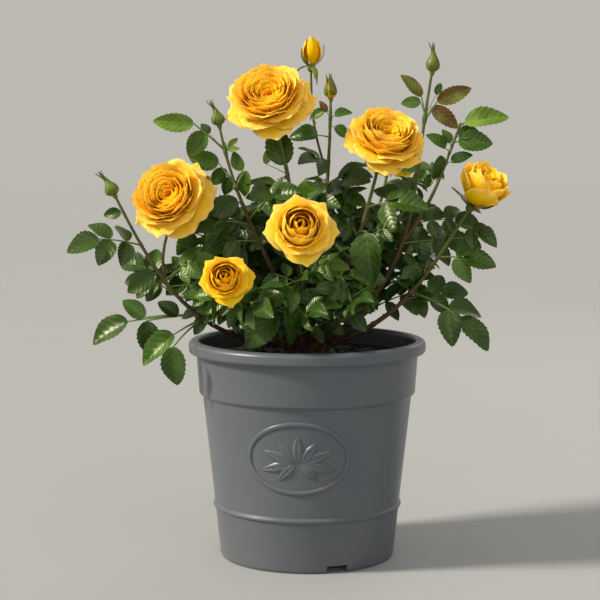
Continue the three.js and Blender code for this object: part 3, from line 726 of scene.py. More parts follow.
@dataclass(frozen=True)
class PaleFloor(Finish):
    """A plain pale matt floor with a faint mottle of patches about two hands wide."""

    plain: str = "#a2a5a7"
    worn: str = "#a1a4a6"
    patch_size: float = 200.0

    def drawn(self, tree: Any) -> dict:
        """Soft noise mixes the plain and the worn colour.

        Args:
            tree: The material's node tree.

        Returns:
            The colour.
        """
        place = add_node(tree, "TexCoord", out="Object")
        patches = {"Vector": place, "Scale": per_metre(self.patch_size), "Detail": 1.0}
        cloud = add_node(tree, "TexNoise", patches)
        stops = [(0.3, self.plain), (0.7, self.worn)]
        return {"Base Color": add_node(tree, "ValToRGB", {0: cloud}, stops)}


class Tint(Enum):
    """The greens that a spray of leaves can have, from old and dark to young and red. The dark green is
    partly painted shade, since most leaves low down and inside the plant get it.
    """

    # The dark green of old leaves, which also serves as painted shade low down and inside the plant
    DARK = LeafSkin("mature_rose_leaf_with_painted_shade", 0.37, 0.6, "#1b3d02", "#4f6e2a")
    MID = LeafSkin("rose_leaf", 0.37, 0.6, "#2f5506", "#678634")
    BRIGHT = LeafSkin("young_rose_leaf", 0.32, 0.35, "#5c801e", "#9aae5a", quilt=0.3)
    BRONZE = LeafSkin("red_young_rose_leaf", 0.32, 0.4, "#5e3e18", "#677a2a", quilt=0.3, mottle=0.85)


UNDERSIDE = LeafSkin("rose_leaf_underside", 0.55, 0.35, "#4c6c2e", "#7a9352", quilt=0.2)


# The pot


@dataclass
class Pot:
    """The tapered pot with its rolled lip, collar, step, bead, medallion and drain notches."""

    rim_radius: float = 120.0
    height: float = 221.0
    wall: float = 3.0
    step_z: float = 164.5
    bead_z: float = 53.5
    bead_half: float = 2.8
    wall_low: float = 93.9
    wall_high: float = 105.7
    collar_drop: float = 12.4
    sides: int = 256
    medallion_turn: float = -95.4
    medallion_z: float = 116.5
    half_width: float = 50.0
    half_height: float = 34.5
    bead: Pair = (2.6, 1.7)
    bead_grid: tuple[int, int] = (96, 12)
    leaf_grid: tuple[int, int] = (13, 9)
    fan_foot: float = -5.0
    fan_spread: float = 3.0
    relief: float = 1.9
    sunk: float = 1.2
    fan_pairs: tuple = ((54, 27, 11), (22, 34, 12), (-12, 36, 11), (-46, 24, 10))
    fan_upright: tuple = (90, 28, 12)
    notch: tuple[float, float, float, float] = (21.0, 7.5, 8.0, 88.0)
    notch_count: int = 3
    first_notch: float = -70.7

    def section(self) -> Array:
        """The pot's section up the outside and down the inside. Each row of the table is a corner's
        radius and height, and how far from it its bend begins. A bend is a quadratic curve.

        Returns:
            Rows of radius and height, which start and end on the axis.
        """
        rim, top, bead, half = self.rim_radius, self.height, self.bead_z, self.bead_half
        floor = self.wall + 1
        corners = np.array(
            [
                (86.5, 0, 0.6),
                (88.4, 2.6, 1.2),
                (93.4, bead - half, 0.7),
                (95.7, bead - 1.2, 0.9),
                (95.7, bead + 1.2, 0.9),
                (self.wall_low, bead + half, 0.7),
                (self.wall_high, self.step_z, 0.8),
                (109.4, self.step_z + 3.4, 1.4),
                (112.2, top - self.collar_drop, 0.6),
                (rim - 1.6, top - self.collar_drop, 1.0),
                (rim, top - 10.6, 1.2),
                (rim, top - 2.6, 2.0),
                (rim - 3, top, 2.0),
                (rim - 9.6, top, 1.4),
                (rim - 10.6, top - 3, 1.4),
                (109.2, SOIL_Z, 0.5),
                (109.4 - self.wall, self.step_z + 4, 1.0),
                (self.wall_high - self.wall, self.step_z, 1.0),
                (85.4, floor, 1.0),
            ]
        )
        places, cut = corners[:, :2], corners[:, 2:]
        before = unit(np.roll(places, 1, 0) - places)
        after = unit(np.roll(places, -1, 0) - places)
        before[0] = after[-1] = [-1, 0]
        start, end = places + before * cut, places + after * cut
        t = np.linspace(0, 1, 5)[None, :, None]
        bends = (1 - t) ** 2 * start[:, None] + 2 * t * (1 - t) * places[:, None] + t**2 * end[:, None]
        return np.concatenate([[[0, 0]], bends.reshape(-1, 2), [[0, floor]]])

    def on_wall(self, across: Array, up: Array, out: Array) -> Array:
        """Points of the medallion: the wall's radius grows evenly from the bead to the step, and a place
        across it becomes a turn, across / radius.

        Args:
            across: How far to the side of its middle they are.
            up: How far above its middle.
            out: How far they stand out of the wall.

        Returns:
            The points.
        """
        z = self.medallion_z + up
        low = self.bead_z + self.bead_half
        radius = self.wall_low + (z - low) / (self.step_z - low) * (self.wall_high - self.wall_low)
        turn = radians(self.medallion_turn) + across / radius
        return np.stack([(radius + out) * np.cos(turn), (radius + out) * np.sin(turn), z], -1)

    def oval_bead(self) -> Surface:
        """The bead round the medallion: at each angle a of the oval a round section, half sunk in the
        wall, that stands bead[0] to either side and bead[1] out.

        Returns:
            The bead.
        """
        steps, ring = self.bead_grid
        wide, high = self.bead
        a = circle(steps)[:, None]
        b = circle(ring)[None]
        across = (self.half_width + wide * np.cos(b)) * np.cos(a)
        up = (self.half_height + wide * np.cos(b)) * np.sin(a)
        points = self.on_wall(across, up, high * np.sin(b) + 0 * a).reshape(-1, 3)
        triangles = grid_triangles(steps + 1, ring, True)[:, ::-1] % len(points)
        return Surface(points, triangles, np.zeros((len(points), 2)))

    def relief_leaf(self, x: float, rise: float, length: float, width: float) -> Surface:
        """One raised leaf of the fan: its half width follows sin(pi t^0.8), it is highest on a line
        between rib and rim, grooved along the rib, and its rim sinks into the wall.

        Args:
            x: How far to the side of the fan's middle its foot is.
            rise: The way it points, in degrees above the level.
            length: Its length.
            width: Its greatest width.

        Returns:
            The leaf, closed at its back.
        """
        rows, columns = self.leaf_grid
        t = np.linspace(0, 1, rows)[:, None]
        u = np.linspace(-1, 1, columns)[None]
        half = width / 2 * np.sin(pi * t**0.8) ** 0.8
        along, side = turned(length * t + 0 * u, half * u, radians(rise))
        crest = np.sqrt(np.clip(1 - u**2, 0, 1)) * (1 - 0.45 * np.exp(-((u / 0.22) ** 2)))
        veins = 1 + 0.12 * np.cos(2 * pi * (5 * t - 1.1 * np.abs(u)))
        out = 1.25 * self.relief * crest * veins * np.sin(pi * t) ** 0.5 - 0.3
        across, up = x + along, self.fan_foot + side
        front = self.on_wall(across, up, out).reshape(-1, 3)
        back = self.on_wall(across, up, 0 * out - self.sunk).reshape(-1, 3)
        pattern, doubled = blade_pattern(rows, columns)
        points = np.concatenate([front, back[doubled]])
        return Surface(points, pattern[:, ::-1], np.zeros((len(points), 2)))

    def medallion(self) -> Surface:
        """The medallion's bead and its fan of leaves, upright in the middle and in pairs beside it.

        Returns:
            The medallion.
        """
        fan = [self.relief_leaf(0, *self.fan_upright)]
        for rise, length, width in self.fan_pairs:
            fan.append(self.relief_leaf(self.fan_spread, rise, length, width))
            fan.append(self.relief_leaf(-self.fan_spread, 180 - rise, length, width))
        return joined([self.oval_bead(), *fan])

    def cut_notches(self, pot: Any) -> None:
        """Cuts the drain notches out of the pot's foot with one boolean, and applies it.

        Args:
            pot: The pot's object.
        """
        width, height, depth, radius = self.notch
        corners = np.array([[x, y, z] for x in (-1, 1) for y in (-1, 1) for z in (-1, 1)], float)
        squares = ((0, 1, 3, 2), (4, 6, 7, 5), (0, 4, 5, 1), (2, 3, 7, 6), (0, 2, 6, 4), (1, 5, 7, 3))
        sides = np.array(squares)
        x, y, z = (corners * [depth, width / 2, height] + [radius, 0, 0]).T
        turn = np.radians(self.first_notch + 360 * np.arange(self.notch_count) / self.notch_count)
        x, y = turned(x, y, turn[:, None])
        boxes = np.stack([x, y, z + 0 * x], -1)
        triangles = np.concatenate([sides[:, [0, 1, 2]], sides[:, [0, 2, 3]]])
        cutters = repeated(boxes, triangles, boxes[..., :2])
        mesh = bpy.data.meshes.new("notches")
        mesh.from_pydata((cutters.points * MM).tolist(), [], cutters.triangles.tolist())
        cutter = in_scene("notches", mesh)
        cut = pot.modifiers.new("notches", "BOOLEAN")
        cut.operation, cut.solver, cut.object = "DIFFERENCE", "EXACT", cutter
        graph = bpy.context.evaluated_depsgraph_get()
        pot.data = bpy.data.meshes.new_from_object(pot.evaluated_get(graph))
        pot.modifiers.clear()
        bpy.data.objects.remove(cutter)

    def build(self) -> None:
        """Makes the pot in satin grey polypropylene."""
        plastic = [MouldedPolypropylene("satin_grey_polypropylene", 0.36).material()]
        shell = make_piece("pot_shell", lathe(self.section(), self.sides), plastic, ["pot"])
        self.cut_notches(shell)
        make_piece("pot_medallion", self.medallion(), plastic, ["pot"])


@dataclass
class Compost:
    """The peat compost that fills the pot, with loose crumbs on its top."""

    radius: float = 108.4
    top_drop: float = 1.4
    wall: tuple = ((0, 4.3), (84.6, 4.3), (101.9, 164.5), (105.5, 168.8), (107.9, 202.0))
    rings: int = 60
    sides: int = 160
    shy_edge: float = 14.0
    crumbs: int = 700
    crumb_size: Pair = (1.0, 3.4)
    seed: int = 23

    def body(self) -> Surface:
        """A turned filling whose top rolls by about a millimetre and is lumpy by half of one, level at
        the wall.

        Returns:
            The filling.
        """
        top = np.linspace(self.radius, 3, self.rings)
        level = SOIL_Z - self.top_drop
        profile = [self.wall, np.stack([top, np.full(self.rings, level)], 1), [[0, level]]]
        made = lathe(np.concatenate(profile), self.sides)
        upper = made.points[:, 2] > SOIL_Z - 2
        rough = 1.6 * ripple(made.points, 38, 3) + 0.9 * ripple(made.points, 7, 4)
        shy = smooth((self.radius - np.hypot(made.points[:, 0], made.points[:, 1])) / self.shy_edge)
        made.points[:, 2] += np.where(upper, rough * shy * 0.7, 0)
        return made

    def loose(self) -> Surface:
        """Crumbs: eight-sided lumps with each corner pushed in or out, scattered evenly over the disc.

        Returns:
            The crumbs as one surface.
        """
        rng = np.random.default_rng(self.seed)
        count = self.crumbs
        lump = np.array([[1, 0, 0], [0, 1, 0], [-1, 0, 0], [0, -1, 0], [0, 0, 1], [0, 0, -1]], float)
        upper = [[i, (i + 1) % 4, 4] for i in range(4)]
        faces = np.array(upper + [[b, a, 5] for a, b, _ in upper])
        size = rng.uniform(*self.crumb_size, count)
        reach = (self.radius - 4) * np.sqrt(rng.uniform(0.05, 1, count))
        turn = rng.uniform(0, 2 * pi, count)
        centre = np.stack([reach * np.cos(turn), reach * np.sin(turn), np.full(count, SOIL_Z - 1)], 1)
        stretch = rng.uniform(0.6, 1.3, (count, 6, 1)) * size[:, None, None]
        x, y = turned(lump[:, 0], lump[:, 1], rng.uniform(0, 2 * pi, count)[:, None])
        spun_lumps = np.stack([x, y, lump[:, 2] * 0.7 + 0 * x], -1)
        return repeated(centre[:, None] + spun_lumps * stretch, faces, np.zeros((count, 6, 2)))

    def build(self) -> None:
        """Makes the compost in moist peat."""
        peat = Peat("moist_peat_compost", 0.85).material()
        make_piece("peat_filling", joined([self.body(), self.loose()]), [peat], ["compost"])


# The plant's frame: the canes, shoots, flowers and buds stand where the part's source has them


# A limb's handles as a share of the straight way from its foot to its tip
BEND = 0.42
# The share of a curve between two points that give its direction
STEP = 1e-3


@dataclass(frozen=True)
class Curve:
    """A cubic curve from its four control points."""

    controls: Array

    @classmethod
    def between(cls, foot: Array, launch: Sequence, tip: Sequence, arrive: Sequence) -> "Curve":
        """The curve of a limb, whose handles are BEND times the straight distance.

        Args:
            foot: Its foot.
            launch: The turn and rise of its way out.
            tip: Its tip.
            arrive: The turn and rise of its way in.

        Returns:
            The curve.
        """
        end = np.array(tip, float)
        handle = BEND * np.linalg.norm(end - foot)
        out, into = handle * heading(*launch), handle * heading(*arrive)
        return cls(np.stack([foot, foot + out, end - into, end]))

    def at(self, share: Any) -> Array:
        """The curve's points at some shares of the way."""
        return cubic(np.asarray(share, float)[..., None], *self.controls)

    def along(self, share: Any) -> Array:
        """The curve's direction at some shares."""
        return unit(self.at(share + STEP) - self.at(share - STEP))


@dataclass(frozen=True)
class Limb:
    """A cane: its foot as distance, turn and height above the soil, ways out and in, tip, radii at both
    ends, and the share of it that is bare."""

    foot: Triple
    launch: Pair
    tip: Triple
    arrive: Pair
    radii: Pair
    bare: float


CANES = {
    "left": Limb((14, 185, 9), (190, 3), (-189, -45, 369), (192, 64), (3.4, 1.6), 0.34),
    "mid_left": Limb((10, 225, 14), (200, 72), (-87, -25, 437), (190, 79), (3.5, 1.5), 0.36),
    "centre": Limb((3, 200, 16), (200, 84), (-34, -8, 446), (180, 74), (3.3, 1.9), 0.36),
    "tall": Limb((9, 65, 15), (50, 80), (24, 30, 464), (60, 88), (3.4, 1.6), 0.34),
    "right_centre": Limb((12, 320, 13), (322, 62), (73, -24, 407), (30, 74), (3.3, 1.9), 0.36),
    "right": Limb((15, 10, 10), (5, 34), (125, 5, 490), (350, 80), (3.8, 1.6), 0.4),
    "far_right": Limb((18, 340, 8), (355, 20), (165, -10, 358), (0, 58), (3.4, 1.8), 0.34),
    "front": Limb((16, 275, 9), (272, 50), (-7, -86, 334), (270, 52), (3, 1.8), 0.38),
    "front_left": Limb((17, 243, 8), (232, 32), (-77, -99, 288), (238, 45), (3, 1.7), 0.4),
    "back_left": Limb((15, 135, 10), (148, 42), (-116, 88, 368), (130, 62), (3.2, 1.8), 0.36),
    "back": Limb((16, 95, 10), (95, 44), (-12, 126, 338), (90, 62), (3, 1.8), 0.38),
    "back_right": Limb((15, 48, 11), (48, 48), (88, 100, 396), (50, 70), (3.3, 1.8), 0.36),
}
# Branches and flower stalks that leave a cane: the cane, the share, way out, tip, way in and radii
FORKS = {"upper_right": ("right", 0.44, (25, 48), (161, 30, 450), (330, 66), (2.6, 1.3))}
SIDE_STALKS = {
    "side_left": ("left", 0.62, (150, 70), (-127, -29, 355), (300, 40), (1.9, 1.9)),
    "side_tall": ("tall", 0.7, (160, 70), (4, 34, 496), (90, 88), (1.6, 1.4)),
}
# Low leafy shoots from the foot of the stock, as turn, reach and top
LOW_SHOOTS = {
    "left_front": (208, 112, 272),
    "front_low_left": (262, 98, 276),
    "front_low_right": (297, 106, 284),
    "right_front": (326, 104, 300),
    "right_back": (24, 118, 296),
    "back_low_right": (72, 120, 296),
    "back_low_left": (116, 122, 304),
    "left_back": (160, 124, 290),
}
LOW_FOOT = (22.0, 5.0)
LOW_RISES = (40, 55)
LOW_RADII = (2.2, 1.0)


class Form(Enum):
    """How far a flower is open."""

    FULL = "full"
    HIGH = "high"
    HALF = "half"


@dataclass(frozen=True)
class Bloom:
    """An open flower: its node, the limb that carries it, the way it faces, its radius and form."""

    node: str
    carrier: str
    axis: Triple
    radius: float
    form: Form


BLOOMS = (
    Bloom("bloom_top", "centre", (-0.17, -0.72, 0.69), 46, Form.FULL),
    Bloom("bloom_left", "side_left", (-0.32, -0.8, 0.5), 44, Form.FULL),
    Bloom("bloom_right", "right_centre", (0.18, -0.62, 0.78), 42, Form.FULL),
    Bloom("bloom_front", "front", (0, -0.93, 0.37), 37.5, Form.HIGH),
    Bloom("bloom_front_left", "front_left", (-0.08, -0.92, 0.38), 27.5, Form.HIGH),
    Bloom("bloom_half_open", "far_right", (0.4, -0.38, 0.83), 30, Form.HALF),
    Bloom("bloom_back_left", "back_left", (-0.5, 0.7, 0.5), 22, Form.HIGH),
    Bloom("bloom_back", "back", (0, 0.85, 0.53), 33, Form.HIGH),
    Bloom("bloom_back_right", "back_right", (0.3, 0.7, 0.65), 34, Form.FULL),
)


@dataclass(frozen=True)
class Bud:
    """A bud: its node, the limb that carries it, its lean, length and radius, how far the sepals pass
    its shoulder, whether its petals stand free, and whether they show between the sepals."""

    node: str
    carrier: str
    axis: Triple
    length: float
    radius: float
    sepal: float
    yellow: bool = False
    slit: bool = False


BUDS = (
    Bud("bud_left", "left", (-0.45, 0, 0.9), 19, 6.8, 13),
    Bud("bud_mid_left", "mid_left", (-0.22, 0, 1), 18, 6.6, 13),
    Bud("bud_tall", "tall", (-0.05, 0, 1), 25, 6.4, 6, slit=True),
    Bud("bud_right", "right", (0.1, 0, 1), 22, 6.8, 12),
    Bud("bud_top", "side_tall", (0.02, 0, 1), 31, 10.2, 5, yellow=True),
)


@dataclass
class Skeleton:
    """The middle lines of all the limbs, by name, with their radii."""

    curves: dict[str, Curve] = field(default_factory=dict)
    radii: dict[str, Pair] = field(default_factory=dict)

    def __post_init__(self) -> None:
        """Lays out the canes, then what forks from them, then the low shoots."""
        for name, cane in CANES.items():
            distance, turn, height = cane.foot
            foot = heading(turn, 0) * distance + UP * (SOIL_Z + height)
            self.curves[name] = Curve.between(foot, cane.launch, cane.tip, cane.arrive)
            self.radii[name] = cane.radii
        for name, (host, share, launch, tip, arrive, radii) in {**FORKS, **SIDE_STALKS}.items():
            self.curves[name] = Curve.between(self.curves[host].at(share), launch, tip, arrive)
            self.radii[name] = radii
        distance, height = LOW_FOOT
        for name, (turn, reach, top) in LOW_SHOOTS.items():
            foot = heading(turn, 0) * distance + UP * (SOIL_Z + height)
            tip = heading(turn, 0) * reach + UP * top
            self.curves[name] = Curve.between(foot, (turn, LOW_RISES[0]), tip, (turn, LOW_RISES[1]))
            self.radii[name] = LOW_RADII

    @property
    def masses(self) -> list[str]:
        """The masses of foliage in the order that seeds them."""
        return [*CANES, *FORKS, *LOW_SHOOTS]

    def seat(self, flower: Bloom | Bud) -> tuple[Array, Array]:
        """The turn that carries +Z onto a flower's axis, and the tip of the limb that it stands on."""
        return standing(flower.axis), self.curves[flower.carrier].at(1.0)


# The wood


@dataclass
class Wood:
    """The stock and the limbs, with the bark's relief, swollen joints and thorns."""

    skeleton: Skeleton
    stock_radius: float = 27.0
    stock_height: float = 20.0
    stock_sink: float = 2.0
    stock_wide: tuple = (1.12, 1.08, 1.02, 0.95, 0.86, 0.75, 0.62, 0.47, 0.32, 0.15)
    stock_high: tuple = (0, 0.06, 0.16, 0.3, 0.46, 0.62, 0.78, 0.89, 0.96, 1.0)
    stock_grid: tuple[int, int] = (28, 90)
    sides: int = 14
    steps: int = 72
    slimmer: float = 0.82
    swelling: float = 0.22
    bare_joints: tuple = (0.12, 0.24)
    thorn_length: float = 4.6
    thorn_sides: int = 6
    thorn_rings: tuple = ((-0.3, 0.42, 0.0), (0.25, 0.22, 0.06), (0.65, 0.09, 0.2))
    thorn_hook: float = 0.42
    seed: int = 51

    def stock(self) -> Surface:
        """The woody stock: a dome whose radius swells in five lumps that wind up it, ridged and knobbed
        by up to a millimetre and a half.

        Returns:
            The stock.
        """
        rows, sides = self.stock_grid
        fine = np.linspace(0, 1, rows)
        coarse = np.linspace(0, 1, len(self.stock_wide))
        foot, top = SOIL_Z - self.stock_sink, SOIL_Z + self.stock_height + 0.3
        wide = np.interp(fine, coarse, self.stock_wide) * self.stock_radius
        high = np.interp(fine, coarse, self.stock_high) * self.stock_height + foot
        made = lathe(np.concatenate([[[0, foot]], np.stack([wide, high], 1), [[0, top]]]), sides)
        points = made.points
        angle = np.arctan2(points[:, 1], points[:, 0])
        rise = (points[:, 2] - SOIL_Z) / self.stock_height
        lumps = 1 + 0.07 * np.cos(5 * angle + 3 * rise)
        ridges = 1 + 0.05 * ripple(points, 9, 7) + 0.025 * np.cos(26 * angle + 5 * rise)
        flat = np.hypot(points[:, 0], points[:, 1])
        points[:, :2] *= np.where(flat > 1, lumps * ridges, 1)[:, None]
        made.uv[:, 1] = 0.05
        return made

    def radius(self, name: str, share: Array) -> Array:
        """A limb's radius, which tapers evenly from its foot to its tip."""
        thick, thin = self.skeleton.radii[name]
        return self.slimmer * (thick + (thin - thick) * share)

    def limb(self, name: str, start: float, end: float, joints: Sequence[float] = ()) -> Surface:
        """A limb: a tapering tube that swells by a fifth at each joint, and whose bark lifts it by up to
        7 parts in a hundred.

        Args:
            name: The limb.
            start: The share of it where the surface starts.
            end: The share where it ends.
            joints: The shares where leaves leave it.

        Returns:
            The limb.
        """
        share = np.linspace(start, end, self.steps)
        curve = self.skeleton.curves[name]
        radius = self.radius(name, share)
        length = np.linalg.norm(np.diff(curve.controls[[0, 3]], axis=0))
        for joint in joints:
            radius = radius * (1 + self.swelling * np.exp(-(((share - joint) * length / 2.6) ** 2)))
        path = curve.at(share)
        age = share if name in CANES else 0.45 + 0.55 * share
        made = tubes(path[None], radius[None], self.sides, age[None])
        middle = np.concatenate([np.repeat(path, self.sides, 0), path[:1], path[-1:]])
        lift = 1 + 0.07 * ripple(made.points * [1, 1, 0.3], 3.2, 5)
        made.points = middle + (made.points - middle) * lift[:, None]
        return made

    def thorns(self, name: str, start: float, end: float, count: int, rng: Draws) -> Surface:
        """Thorns on a limb: curved cones of three rings, broad along the limb, that hook down it.

        Args:
            name: The limb.
            start: The share of it where they start.
            end: The share where they end.
            count: How many.
            rng: The numbers that scatter them.

        Returns:
            The thorns as one surface.
        """
        share = rng.uniform(start, end, count)
        curve = self.skeleton.curves[name]
        base, along = curve.at(share), curve.along(share)
        level = unit(np.cross(along, rng.normal(size=(count, 3))))
        skin = self.radius(name, share)[:, None] * 0.8
        size = rng.uniform(0.6, 1.1, (count, 1)) * self.thorn_length
        side = np.cross(along, level)
        angle = circle(self.thorn_sides)[None, :, None]
        spoke = along[:, None] * np.cos(angle) * 1.5 + side[:, None] * np.sin(angle)
        rings = []
        for out, wide, down in self.thorn_rings:
            centre = base + level * (skin + out * size) - along * (down * size)
            rings.append(centre[:, None] + spoke * (wide * size)[:, None] * 0.8)
        tip = base + level * (skin + size) - along * (self.thorn_hook * size)
        points = np.concatenate([*rings, base[:, None], tip[:, None]], 1)
        uv = np.full((count, points.shape[1], 2), 0.3)
        return repeated(points, ring_triangles(len(rings), self.thorn_sides), uv)

    def build(self, joints: dict[str, list[float]]) -> None:
        """Makes the boughs with the stock, and the leafy stems that go on from them.

        Args:
            joints: The shares of each limb where its leaves leave it.
        """
        rng = np.random.default_rng(self.seed)
        bark = [Cane("rose_bark", 0.6).material()]
        boughs, stems = [self.stock()], []
        for name, cane in CANES.items():
            boughs.append(self.limb(name, 0.0, cane.bare, self.bare_joints))
            boughs.append(self.thorns(name, 0.08, cane.bare, 5, rng))
            stems.append(self.limb(name, cane.bare, 1.0, joints[name]))
            stems.append(self.thorns(name, cane.bare, 0.8, 5, rng))
        for name in [*FORKS, *SIDE_STALKS, *LOW_SHOOTS]:
            end = 1.0 if name in SIDE_STALKS else max(joints[name]) + 0.01
            stems.append(self.limb(name, 0.0, end, joints.get(name, [])))
            stems.append(self.thorns(name, 0.1, 0.8, 3, rng))
        nodes = ["rose_stock", *(f"cane_{name}" for name in CANES)]
        make_piece("boughs", joined(boughs), bark, nodes)
        foliage = [f"foliage_{name}" for name in self.skeleton.masses]
        make_piece("stems", joined(stems), bark, foliage)


# The flowers


@dataclass
class Whorl:
    """Petals or sepals as arrays with one entry each, in the flower's own frame.

    Lengths are millimetres and angles degrees. A foot and a rim are a reach from the axis and a height.
    Start and end are the angles off the axis at which the middle line leaves its foot and meets its rim.
    A path, with a share, a reach and a height in each row, can stand for those four.
    """

    turn: Array
    width: Array
    flat: Array
    roll: Array
    depth: Array
    ruffle: Array
    foot: Array | None = None
    rim: Array | None = None
    start: Array | None = None
    end: Array | None = None
    path: Array | None = None
    point: float = 0.0
    notch: float = 0.0
    tuck: float = 0.0
    lance: bool = False


@dataclass
class Corolla:
    """Makes petals and sepals: thin closed blades on a grid."""

    rows: int = 13
    columns: int = 17
    thickness: float = 0.45
    handle: float = 0.46

    def middle_lines(self, whorl: Whorl, share: Array) -> tuple[Array, Array, Array]:
        """Reach, height and lean along the middle lines, each a cubic curve from its foot to its rim.

        With handles h = 0.46 of the straight distance, its controls are the foot, the foot + h (sin
        start, cos start), the rim - h (sin end, cos end) and the rim. A whorl with a path follows that.

        Args:
            whorl: The petals.
            share: How far along its line each grid point is, as petals x rows x columns.

        Returns:
            Reach, height and lean, each as petals x rows x columns.
        """
        if whorl.path is not None:
            places, *lines = whorl.path.T
            reach, height = (np.interp(share, places, line) for line in lines)
            out, up = (np.interp(share, places, np.gradient(line, places)) for line in lines)
            many = np.ones((len(whorl.turn), 1, 1))
            return reach * many, height * many, np.arctan2(out, up) * many
        handle = self.handle * np.linalg.norm(whorl.rim - whorl.foot, axis=1, keepdims=True)
        start, end = np.radians(whorl.start), np.radians(whorl.end)
        first = whorl.foot + handle * np.stack([np.sin(start), np.cos(start)], 1)
        second = whorl.rim - handle * np.stack([np.sin(end), np.cos(end)], 1)
        a, b, c, d = (point[:, :, None, None] for point in (whorl.foot, first, second, whorl.rim))
        t = share[:, None]
        line = cubic(t, a, b, c, d)
        slope = (1 - t) ** 2 * (b - a) + 2 * t * (1 - t) * (c - b) + t**2 * (d - c)
        flick = whorl.roll[:, None, None] * smooth((share - 0.72) / 0.28) ** 2
        return line[:, 0], line[:, 1], np.arctan2(slope[:, 0], slope[:, 1]) + flick

    def petals(self, whorl: Whorl, rng: Draws) -> Surface:
        """The petals of a whorl.

        Across a petal the section is an arc round the flower's axis. Its half width grows by a smooth
        step, its rim falls away to the sides by a power of the distance from the middle, its sides roll
        back, and the rim waves as two sines of different pitch and is notched by a third.

        Args:
            whorl: The petals' sizes.
            rng: The numbers that set the waves.

        Returns:
            The petals as closed thin blades.
        """
        n = len(whorl.turn)
        v = np.linspace(0, 1, self.rows)[:, None]
        u = np.linspace(-1, 1, self.columns)[None]
        phase = rng.uniform(0, 2 * pi, (n, 1, 1))
        waves = rng.uniform(1.4, 2.6, (n, 1, 1))
        if whorl.lance:
            share = (v + 0 * u)[None]
            half = 0.5 * (smooth(v / 0.22) * (1 - 0.98 * v**1.4) + 0.12 * (1 - v))
        else:
            peak = whorl.point * np.exp(-((u / 0.16) ** 2))
            notches = whorl.notch * np.sin(pi * 1.7 * waves * u + 3 * phase)
            share = v * (1 - 0.18 * np.abs(u) ** 3 + peak + notches) / (1 + whorl.point + whorl.notch)
            half = 0.5 * (0.3 + 0.7 * smooth(v / 0.66))
        reach, height, lean = self.middle_lines(whorl, share)
        width, flat, roll, ruffle = (
            values[:, None, None] for values in (whorl.width, whorl.flat, whorl.roll, whorl.ruffle)
        )
        wrap = np.maximum(reach, 0.35 * width) + flat
        angle = width * half * u / wrap
        edge = np.maximum(np.abs(u) ** 3, v**5)
        lift = ruffle * edge * np.sin(pi * waves * u + 5 * v + phase)
        lift = lift + 0.5 * ruffle * edge * np.sin(pi * 2.7 * waves * u + 2.3 * phase)
        lift = lift - 0.09 * roll * width * np.abs(u) ** 4 * smooth((v - 0.35) / 0.5) + whorl.tuck * u
        out = reach - wrap + wrap * np.cos(angle) - lift * np.cos(lean)
        x, y = turned(out, wrap * np.sin(angle), np.radians(whorl.turn)[:, None, None])
        return self.blades(np.stack([x, y, height + lift * np.sin(lean)], -1), v + 0 * u, whorl.depth)

    def blades(self, front: Array, along: Array, depth: Array) -> Surface:
        """Closed thin blades from their front grids: each inner point is doubled at the back along the
        normal, and the rims are shared.

        Args:
            front: The front points, as blades x rows x columns x 3.
            along: The pattern's first coordinate at each grid point.
            depth: The pattern's second coordinate of each blade.

        Returns:
            The blades as one surface.
        """
        count, rows, columns = front.shape[:3]
        normal = unit(np.cross(np.gradient(front, axis=2), np.gradient(front, axis=1)) + 1e-9)
        pattern, doubled = blade_pattern(rows, columns)
        flat = front.reshape(count, -1, 3)
        back = flat[:, doubled] - self.thickness * normal.reshape(count, -1, 3)[:, doubled]
        points = np.concatenate([flat, back], 1)
        lay = np.concatenate([along.ravel(), along.ravel()[doubled]])
        shape = points.shape[:2]
        uv = np.stack([np.broadcast_to(lay, shape), np.broadcast_to(depth[:, None], shape)], -1)
        return repeated(points, pattern, uv)


